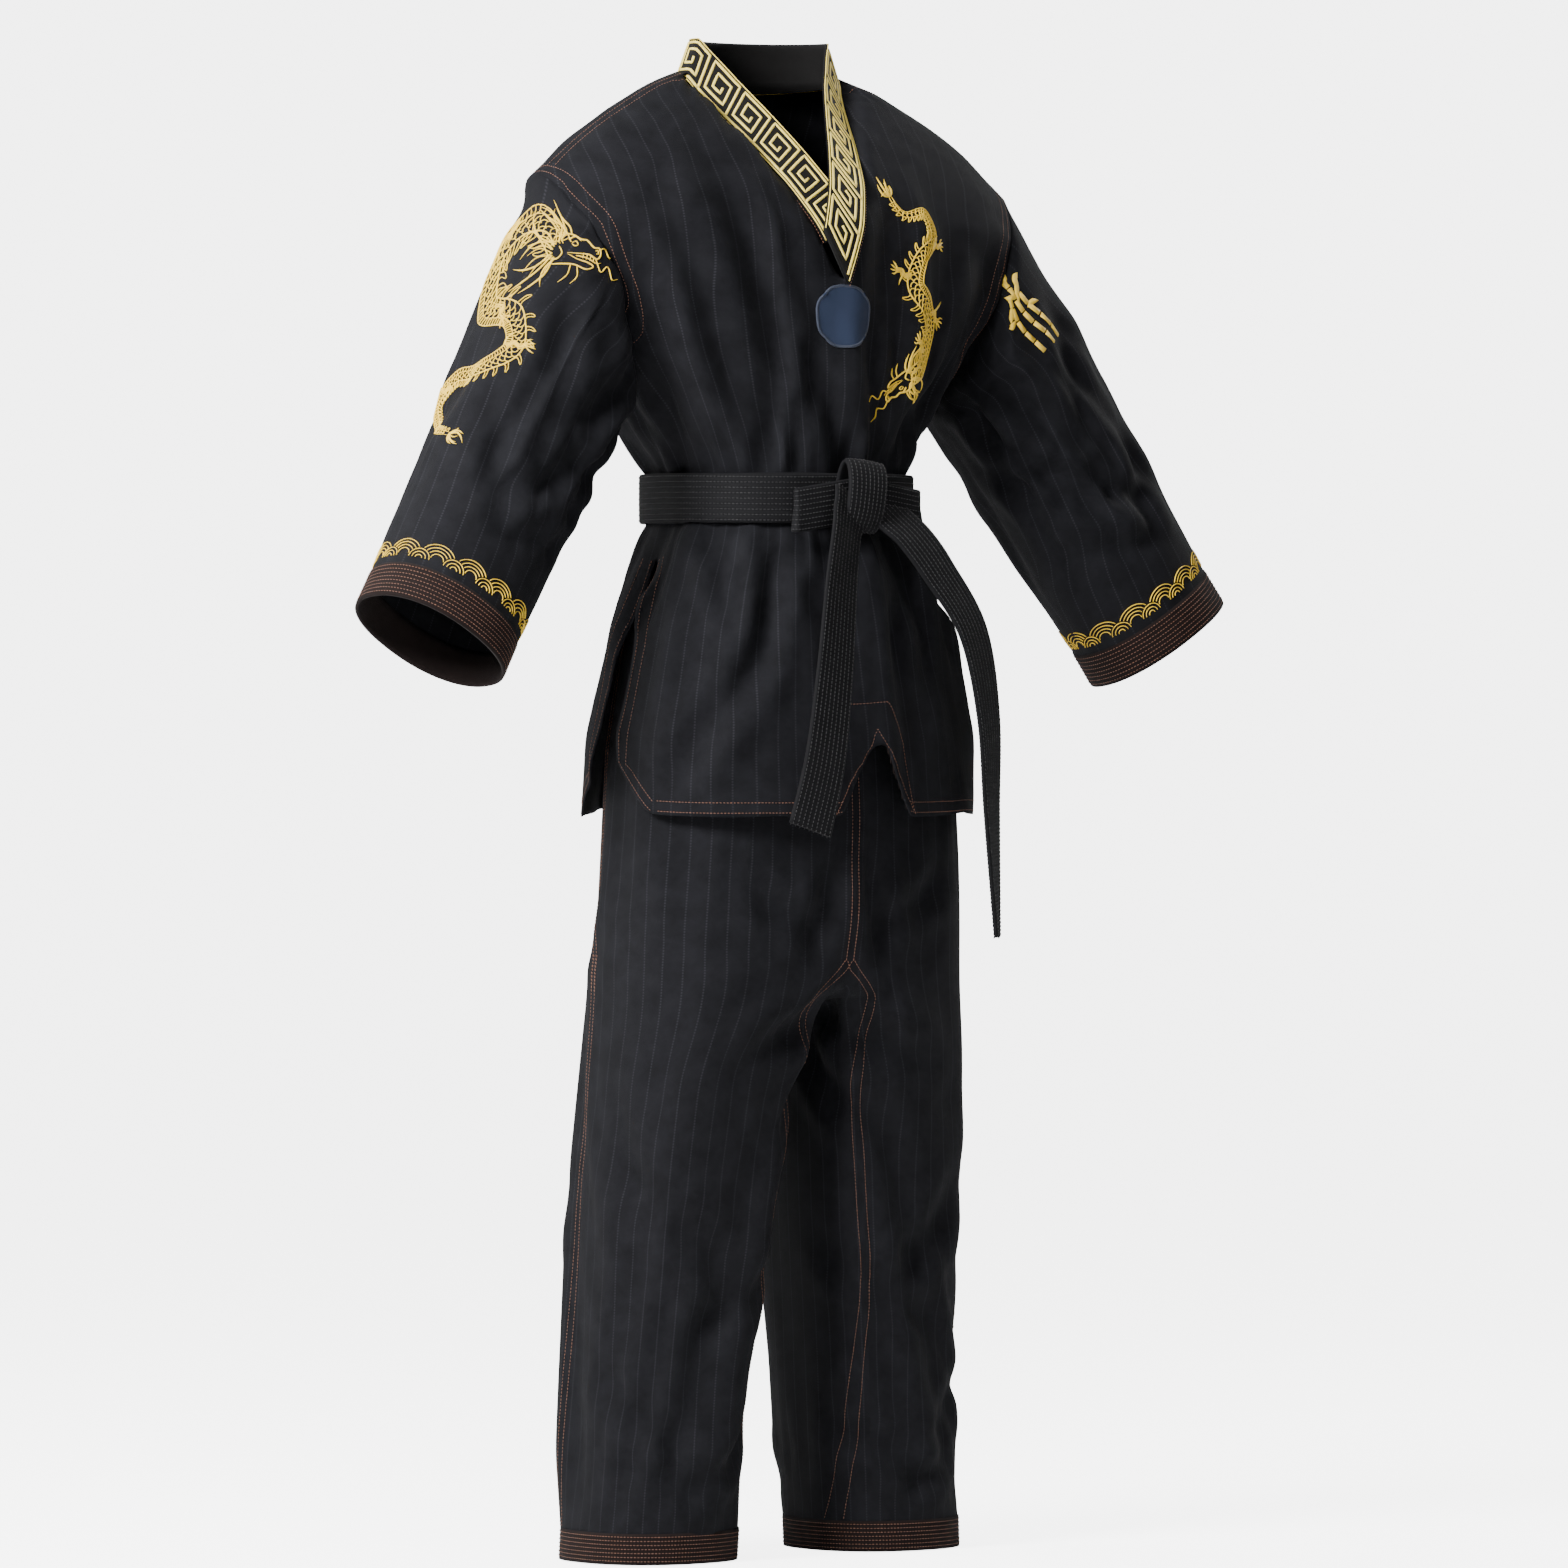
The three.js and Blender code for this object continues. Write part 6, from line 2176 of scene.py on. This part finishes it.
@dataclass
class Dragon:
    """A wingless serpent with a mane, drawn in rows of thread along a winding spine.

    Attributes:
        name: The piece's name.
        spine: The middle of the body from the neck to the tip of the tail, in the drawing's metres.
        girth: The body's width behind the neck.
        heading: The way the head points, in radians anticlockwise from across.
        limbs: Where along the spine each leg grows, from 0 to 1, with the side and the way it reaches.
        size: The head's length.
    """

    name: str
    spine: Sequence[tuple[float, float]]
    girth: float
    heading: float
    limbs: Sequence[tuple[float, int, float]]
    size: float = 0.030

    def embroider(self, place: Place, wardrobe: Wardrobe, rng: np.random.Generator) -> bpy.types.Object:
        """Draws the whole animal on the cloth.

        Args:
            place: The cloth's drawing area.
            wardrobe: Where the thread comes from.
            rng: Varies the flames.

        Returns:
            The embroidery.
        """
        thread = Thread(self.name)
        path = smooth_path(self.spine, 0.0016)
        lengths = lengths_along(path)
        ahead = np.gradient(path, axis=0)
        ahead /= np.linalg.norm(ahead, axis=1, keepdims=True)
        aside = np.column_stack([-ahead[:, 1], ahead[:, 0]])
        share = lengths / lengths[-1]
        widths = self.girth / 2 * (0.85 + 0.35 * np.sin(np.pi * np.clip(share * 1.3, 0, 1))) * (1 - share**2.2 * 0.82)
        for hand, wide in ((1, 0.0016), (-1, 0.0013)):
            edge = path + aside * (hand * widths)[:, None]
            thread.draw(place, edge[::2], wide, 0.0011, taper=(1.0, 0.4))
        self._scales(thread, place, path, ahead, aside, widths)
        self._fins(thread, place, path, ahead, aside, widths)
        for along, hand, reach in self.limbs:
            index = int(along * (len(path) - 1))
            self._limb(thread, place, path[index] + aside[index] * hand * widths[index] * 0.6, reach)
            self._flame(thread, place, path[index] + aside[index] * hand * widths[index], reach + 0.9, 0.017, rng)
        tip, way = path[-1], math.atan2(ahead[-1, 1], ahead[-1, 0])
        for turn, reach in ((-0.9, 0.011), (-0.45, 0.016), (0.0, 0.020), (0.45, 0.016), (0.9, 0.011)):
            self._flame(thread, place, tip, way + turn, reach, rng)
        self._head(thread, place, rng)
        return thread.made(wardrobe.of(GOLD))

    @staticmethod
    def _turned(origin: Array, turn: float, points: Sequence[Sequence[float]], scale: float = 1.0) -> Array:
        """Places a small shape, turned and scaled, at an origin."""
        cosine, sine = math.cos(turn), math.sin(turn)
        return np.array([(origin[0] + scale * (cosine * x - sine * y), origin[1] + scale * (sine * x + cosine * y))
                         for x, y in points])

    def _scales(self, thread: Thread, place: Place, path: Array, ahead: Array, aside: Array, widths: Array) -> None:
        """Rows of overlapping scales on the back and short bars along the belly."""
        step, index, odd = 2, 3, False
        while index < len(path) - 4:
            width = widths[index]
            for offset in ((-0.10, 0.62) if odd else (0.26,)):
                middle = path[index] + aside[index] * width * offset
                radius = width * (0.36 if odd else 0.40)
                arc = [middle + ahead[index] * radius * math.sin(angle) * 1.1 + aside[index] * radius * math.cos(angle)
                       for angle in np.linspace(0.0, math.pi, 8)]
                thread.draw(place, arc, 0.00105, 0.00095)
            belly = [path[index] - aside[index] * width * 0.42 + ahead[index] * 0.0006,
                     path[index] - aside[index] * width * 0.68, path[index] - aside[index] * width * 0.95]
            thread.draw(place, belly, 0.0011, 0.0009)
            odd = not odd
            index += step if widths[index] > 0.0035 else step + 1
        ridge = path - aside * (widths * 0.36)[:, None]
        thread.draw(place, ridge[2:-4:2], 0.0009, 0.0009)

    def _fins(self, thread: Thread, place: Place, path: Array, ahead: Array, aside: Array, widths: Array) -> None:
        """A row of swept-back points down the back."""
        index = 4
        while index < len(path) - 3:
            width = widths[index]
            root = path[index] + aside[index] * width
            tall = 0.0026 + width * 0.62
            fin = smooth_path([root - ahead[index] * 0.0022, root + aside[index] * tall * 0.7 + ahead[index] * 0.0006,
                               root + aside[index] * tall + ahead[index] * (0.0022 + width * 0.3),
                               root + aside[index] * tall * 0.35 + ahead[index] * 0.0020, root + ahead[index] * 0.0024], 0.0011)
            thread.draw(place, fin, 0.0010, 0.0009)
            index += max(3, round(width * 620))

    def _flame(self, thread: Thread, place: Place, root: Array, turn: float, reach: float, rng: np.random.Generator) -> None:
        """One curling tongue with a thinner one beside it."""
        bend = float(rng.uniform(0.10, 0.30)) * (1 if rng.random() < 0.5 else -1)
        curl = [(0, 0), (0.35, bend * 0.7), (0.7, bend * 0.4), (1.0, -bend * 0.5)]
        beside = [(0.02, 0.0), (0.30, -0.16 - bend * 0.2), (0.62, -0.12 - bend * 0.3)]
        thread.draw(place, smooth_path(self._turned(root, turn, curl, reach), 0.0012), 0.0019, 0.0011, taper=(0.8, 0.1))
        thread.draw(place, smooth_path(self._turned(root, turn, beside, reach), 0.0012), 0.0012, 0.0009, taper=(0.8, 0.1))

    def _limb(self, thread: Thread, place: Place, root: Array, turn: float) -> None:
        """A short bent leg with four claws."""
        scale = self.size * 0.72
        leg = [(0, 0), (0.30, 0.16), (0.52, -0.02), (0.78, 0.02)]
        for shift, wide in ((0.0, 0.0026), (0.085, 0.0013), (-0.085, 0.0013)):
            line = smooth_path(self._turned(root, turn, [(x, y + shift) for x, y in leg], scale), 0.0014)
            thread.draw(place, line, wide, 0.0012)
        for spread in (-0.9, -0.3, 0.3, 0.95):
            claw = [(0.76, 0.0), (0.76 + 0.20 * math.cos(spread), 0.24 * math.sin(spread)),
                    (0.76 + 0.40 * math.cos(spread * 0.8), 0.34 * math.sin(spread) - 0.05)]
            thread.draw(place, smooth_path(self._turned(root, turn, claw, scale), 0.0011), 0.0016, 0.0011, taper=(0.9, 0.1))

    def _head(self, thread: Thread, place: Place, rng: np.random.Generator) -> None:
        """The head in outline, with its mane, horns, brow, eye, open jaws and long whiskers."""
        root, turn, size = np.asarray(self.spine[0]), self.heading, self.size
        outlines = {
            "skull": ([(-0.25, 0.22), (0.05, 0.36), (0.38, 0.30), (0.55, 0.34), (0.78, 0.26), (0.98, 0.30), (1.06, 0.16),
                       (0.96, 0.04), (0.70, 0.06), (0.42, 0.00), (0.18, -0.04)], 0.0018),
            "jaw": ([(-0.10, -0.30), (0.20, -0.26), (0.46, -0.22), (0.76, -0.24), (0.92, -0.14), (0.74, -0.10), (0.44, -0.10),
                     (0.20, -0.06)], 0.0016),
            "brow": ([(0.10, 0.22), (0.24, 0.33), (0.40, 0.26)], 0.0018),
            "eye": ([(0.20, 0.17), (0.28, 0.22), (0.36, 0.16), (0.28, 0.12), (0.20, 0.16)], 0.0011),
            "nostril": ([(0.86, 0.20), (0.94, 0.23), (0.96, 0.15), (0.90, 0.14)], 0.0011),
            "cheek": ([(-0.06, 0.06), (0.06, -0.06), (0.00, -0.18), (-0.14, -0.22)], 0.0015),
            "tongue": ([(0.40, -0.05), (0.70, -0.02), (0.96, -0.05), (1.14, 0.02)], 0.0012),
            "horn": ([(0.02, 0.34), (-0.20, 0.56), (-0.52, 0.62), (-0.78, 0.76)], 0.0022),
            "second horn": ([(0.12, 0.36), (-0.02, 0.62), (-0.28, 0.80), (-0.46, 1.02)], 0.0018),
            "horn branch": ([(-0.34, 0.60), (-0.44, 0.74), (-0.42, 0.88)], 0.0013),
            "whisker": ([(0.98, 0.24), (1.22, 0.42), (1.52, 0.30), (1.66, 0.52), (1.94, 0.56)], 0.0012),
            "second whisker": ([(0.94, 0.02), (1.20, -0.16), (1.42, 0.02), (1.70, -0.22), (1.98, -0.14)], 0.0012),
            "beard": ([(0.52, -0.24), (0.62, -0.44), (0.54, -0.62)], 0.0013),
            "second beard": ([(0.36, -0.24), (0.38, -0.46), (0.26, -0.64)], 0.0013),
        }
        for points, wide in outlines.values():
            line = smooth_path(self._turned(root, turn, points, size), 0.0011)
            thread.draw(place, line, wide, 0.0012, taper=(0.7, 0.25))
        for x in (0.56, 0.66, 0.76, 0.86):
            tooth = self._turned(root, turn, [(x, 0.05), (x + 0.02, -0.05)], size)
            thread.draw(place, tooth, 0.0010, 0.0010)
        for turned, reach in zip(np.linspace(1.9, 4.5, 9), (0.75, 0.95, 1.05, 0.85, 0.7, 0.85, 1.0, 0.85, 0.6)):
            way = turn + float(turned)
            base = root + 0.18 * size * np.array((math.cos(way), math.sin(way)))
            self._flame(thread, place, base, way, size * reach, rng)


def bamboo(place: Place, wardrobe: Wardrobe) -> bpy.types.Object:
    """Embroiders a sprig of bamboo: three jointed canes and some pointed leaves."""
    thread = Thread("bamboo_sprig")
    for root, lean, joints in ((-0.010, 0.10, 5), (0.004, -0.02, 6), (0.016, -0.14, 4)):
        for joint in range(joints):
            low, high = -0.038 + joint * 0.0135, -0.0262 + joint * 0.0135
            thread.draw(place, [(root + lean * low, low), (root + lean * high, high)], 0.0060, 0.0014, taper=(0.9, 0.9))
    for x, y, turn, reach in ((0.006, 0.010, 0.6, 0.022), (0.004, 0.020, 2.5, 0.021), (0.006, 0.032, 1.1, 0.020),
                              (-0.012, 0.004, 2.8, 0.018), (0.012, 0.000, -0.3, 0.018), (-0.008, 0.018, 3.7, 0.016),
                              (0.014, 0.022, 0.1, 0.016)):
        leaf = [(x + reach * share * math.cos(turn) - 0.12 * reach * math.sin(math.pi * share) * math.sin(turn),
                 y + reach * share * math.sin(turn) + 0.12 * reach * math.sin(math.pi * share) * math.cos(turn))
                for share in np.linspace(0, 1, 9)]
        thread.draw(place, leaf, 0.0058, 0.0013, taper=(0.15, 0.05))
    return thread.made(wardrobe.of(GOLD))


def cloud(place: Place, wardrobe: Wardrobe) -> bpy.types.Object:
    """Embroiders one curled cloud with a trailing edge."""
    thread = Thread("cloud_curl")
    for middle, hand, size in (((0.0, 0.0), 1, 0.010), ((-0.016, -0.003), -1, 0.008)):
        curl = [(middle[0] + hand * size * (1 - angle / 9.5) * math.cos(angle), middle[1] + size * (1 - angle / 9.5) * math.sin(angle))
                for angle in np.linspace(0, 8.0, 26)]
        thread.draw(place, curl, 0.0017, 0.0011, taper=(0.6, 0.6))
    thread.draw(place, smooth_path([(0.010, 0.0), (0.016, -0.008), (0.006, -0.013), (-0.012, -0.012), (-0.030, -0.015)], 0.0015),
                0.0017, 0.0011, taper=(0.5, 0.1))
    return thread.made(wardrobe.of(GOLD))


def label_patch(place: Place, wardrobe: Wardrobe) -> tuple[bpy.types.Object, bpy.types.Object]:
    """Makes a plain woven patch with an overlocked edge."""
    half_wide, half_tall, steps = 0.028, 0.026, 16
    points, faces, uvs = [], [], []
    marks = np.linspace(-1, 1, steps)
    for row in marks:
        for column in marks:
            across = column * math.sqrt(1 - 0.5 * abs(row) ** 3.2)
            up = row * math.sqrt(1 - 0.5 * abs(column) ** 3.2)
            spot, normal = place(across * half_wide * 1.06, up * half_tall * 1.06)
            points.append(spot + normal * 0.0014)
    for row in range(steps - 1):
        for column in range(steps - 1):
            start = row * steps + column
            faces.append((start, start + 1, start + steps + 1, start + steps))
            uvs += [(marks[c] * half_wide, marks[r] * half_tall) for r, c in
                    ((row, column), (row, column + 1), (row + 1, column + 1), (row + 1, column))]
    patch = mesh_object("label_patch", np.array([tuple(point) for point in points]), faces, uvs)
    dress(thickened(patch, 0.0013, 1), wardrobe.of(LABEL_CLOTH))
    border = Thread("label_border_thread")
    rim = []
    for start, end in (((-1, -1), (1, -1)), ((1, -1), (1, 1)), ((1, 1), (-1, 1)), ((-1, 1), (-1, -1))):
        for share in np.linspace(0, 1, 18, endpoint=False):
            column, row = start[0] + (end[0] - start[0]) * share, start[1] + (end[1] - start[1]) * share
            rim.append((column * math.sqrt(1 - 0.5 * abs(row) ** 3.2) * half_wide * 1.06,
                        row * math.sqrt(1 - 0.5 * abs(column) ** 3.2) * half_tall * 1.06))
    border.line([(spot + normal * 0.0008, normal) for spot, normal in (place(*point) for point in rim)], 0.0030, 0.0012, closed=True)
    return patch, border.made(wardrobe.of(LABEL_EDGE))


def embroider(wardrobe: Wardrobe, stitcher: Stitcher, jacket: Jacket, sleeves: list[Sleeve], trousers: Trousers) -> None:
    """Lays the collar, the label and the embroidery on the finished cloth."""
    collar = Collar(jacket)
    band = collar.made(wardrobe.of(BAND_CLOTH))
    keys = key_pattern(collar, wardrobe)
    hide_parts("right_lapel_band", "left_lapel_band", "back_neck_band")
    outline = [[collar.drawing(float(u), -0.0022) for u in np.linspace(0.002, float(collar.length[-1]) - 0.002, 240)]]
    outline = [[(spot - normal * 0.0014, normal) for spot, normal in row] for row in outline]
    piping = stitcher.sew("collar_seam", outline, wardrobe.of(COPPER))
    middle = jacket.cloth.sketch(jacket.point_on_front(0.0, 0.167))
    patch, border = label_patch(middle, wardrobe)
    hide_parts("chest_label")
    chest = Dragon("chest_dragon", [(0.004, -0.072), (0.026, -0.058), (0.036, -0.030), (0.022, -0.006), (0.002, 0.014),
                                    (0.012, 0.040), (0.032, 0.058), (0.022, 0.084), (-0.004, 0.082), (-0.018, 0.098)],
                   0.0185, math.radians(205), ((0.16, 1, 2.6), (0.30, -1, -0.4), (0.50, 1, 2.9), (0.66, -1, 0.2)))
    chest_piece = chest.embroider(jacket.cloth.sketch(jacket.point_on_front(0.092, 0.182)), wardrobe, jacket.rng)
    for piece in (band, keys, piping, patch, border, chest_piece):
        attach(piece, "jacket")
    right, left = sleeves
    spot = right.start + right.down * 0.100 + (right.out * 1.0 + Vector((0, -1, 0)) * 0.16).normalized() * 0.085
    arm = Dragon("sleeve_dragon", [(0.020, 0.064), (-0.010, 0.074), (-0.036, 0.050), (-0.020, 0.018), (0.018, 0.012),
                                   (0.032, -0.016), (0.006, -0.040), (-0.030, -0.046), (-0.048, -0.074), (-0.028, -0.102),
                                   (0.002, -0.112)],
                 0.0200, math.radians(20), ((0.14, -1, -2.4), (0.34, 1, -0.6), (0.52, -1, 0.3), (0.74, 1, 3.4)), 0.034)
    arm_piece = arm.embroider(right.cloth.sketch(spot), wardrobe, jacket.rng)
    right.ride(arm_piece)
    spot = left.start + left.down * 0.024 + (left.out * 0.16 + Vector((0, -1, 0)) * 0.99).normalized() * 0.085
    sprig = bamboo(left.cloth.sketch(spot), wardrobe)
    left.ride(sprig)
    curl = cloud(trousers.cloth.sketch(Vector((0.203, -0.01, -0.755))), wardrobe)
    trousers.ride_leg(curl, Side.LEFT)
    log.info("embroidery")

@dataclass
class Studio:
    """The floor, the lights and the camera."""

    floor_height: float = -0.9765
    azimuth: float = math.radians(-37)
    distance: float = 10.0
    lens: float = 248.0
    height: float = -0.263
    aside: float = 0.007
    glow: float = 5.0

    def build(self) -> None:
        """Sets up everything round the uniform."""
        self._floor()
        self._lights()
        self._camera()

    def _floor(self) -> None:
        """A pale floor that curves up far behind."""
        points, faces = [], []
        bend = [(13.0 + 2.0 * math.sin(a), 2.0 - 2.0 * math.cos(a)) for a in np.linspace(0.1, math.pi / 2, 12)]
        profile = [(-14.0, 0.0), (13.0, 0.0), *bend, (15.0, 9.0)]
        heading = Vector((-math.sin(self.azimuth), math.cos(self.azimuth), 0))
        aside = Vector((heading.y, -heading.x, 0))
        for reach, up in profile:
            for across in (-9.0, 9.0):
                points.append(tuple(heading * reach + aside * across + Vector((0, 0, self.floor_height + up))))
        for row in range(len(profile) - 1):
            faces.append((2 * row + 1, 2 * row, 2 * row + 2, 2 * row + 3))
        floor = mesh_object("floor", np.array(points), faces)
        material = bpy.data.materials.new("floor_paint")
        material.use_nodes = True
        shader = material.node_tree.nodes["Principled BSDF"]
        shader.inputs["Base Color"].default_value = (0.86, 0.86, 0.86, 1)
        shader.inputs["Roughness"].default_value = 0.7
        shader.inputs["Emission Color"].default_value = (1.0, 1.0, 1.0, 1)
        wire = Wiring(material.node_tree)
        seen = wire.node("ShaderNodeLightPath").outputs["Is Camera Ray"]
        wire.feed(shader.inputs["Emission Strength"], wire.math("MULTIPLY", seen, self.glow))
        dress(floor, material)
        floor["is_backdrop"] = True

    def _lights(self) -> None:
        """Large soft lights in front, at both sides and behind, in a bright room."""
        world = bpy.data.worlds.new("room")
        bpy.context.scene.world = world
        world.use_nodes = True
        world.node_tree.nodes["Background"].inputs["Color"].default_value = (1.0, 1.0, 1.0, 1)
        wire = Wiring(world.node_tree)
        seen = wire.node("ShaderNodeLightPath").outputs["Is Camera Ray"]
        wire.feed(world.node_tree.nodes["Background"].inputs["Strength"], wire.math("MULTIPLY_ADD", seen, 6.5, 0.1))
        for name, azimuth, height, distance, size, power in (
            ("key", -76, 1.3, 2.5, 0.9, 215), ("front_fill", -8, 0.9, 3.6, 1.4, 12),
            ("rim_left", -152, 1.3, 2.8, 1.2, 45), ("rim_right", 98, 1.4, 2.8, 0.9, 40),
            ("floor_wash", -37, 3.6, 0.5, 3.0, 70),
        ):
            light = bpy.data.lights.new(name, "AREA")
            light.size, light.energy = size, power
            turn = math.radians(azimuth)
            obj = bpy.data.objects.new(name, light)
            obj.location = (math.sin(turn) * distance, -math.cos(turn) * distance, height)
            obj.rotation_euler = (Vector((0, 0, -0.25)) - obj.location).to_track_quat("-Z", "Y").to_euler()
            bpy.context.scene.collection.objects.link(obj)

    def _camera(self) -> None:
        """A long lens at the front right of the wearer, level with the hips."""
        data = bpy.data.cameras.new("camera")
        data.lens, data.sensor_width = self.lens, 36.0
        camera = bpy.data.objects.new("camera", data)
        heading = Vector((-math.sin(self.azimuth), math.cos(self.azimuth), 0))
        camera.location = -heading * self.distance + Vector((0, 0, self.height + 0.09))
        target = Vector((0, 0, self.height))
        aside = Vector((heading.y, -heading.x, 0)) * self.aside
        camera.location += aside
        target += aside
        camera.rotation_euler = (target - camera.location).to_track_quat("-Z", "Y").to_euler()
        bpy.context.scene.collection.objects.link(camera)
        bpy.context.scene.camera = camera


def main() -> None:
    """Builds the uniform in order and reports each piece."""
    logging.basicConfig(level=logging.INFO, format="%(message)s")
    wardrobe, stitcher = Wardrobe(), Stitcher()
    rng = np.random.default_rng(SEED)
    Studio().build()
    draping = Draping()
    jacket = Jacket(wardrobe, stitcher, rng)
    jacket.draw(draping)
    sleeves = [Sleeve(side, jacket) for side in Side]
    for sleeve in sleeves:
        sleeve.draw(draping)
    trousers = Trousers(wardrobe, stitcher, rng)
    trousers.draw(draping)
    draping.run()
    jacket.finish()
    for sleeve in sleeves:
        sleeve.finish()
    trousers.finish()
    Belt(wardrobe, stitcher).build()
    embroider(wardrobe, stitcher, jacket, sleeves, trousers)
    [[list(corner) for corner in box] for box in (CAD_BOX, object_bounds())]


if __name__ == "__main__":
    main()
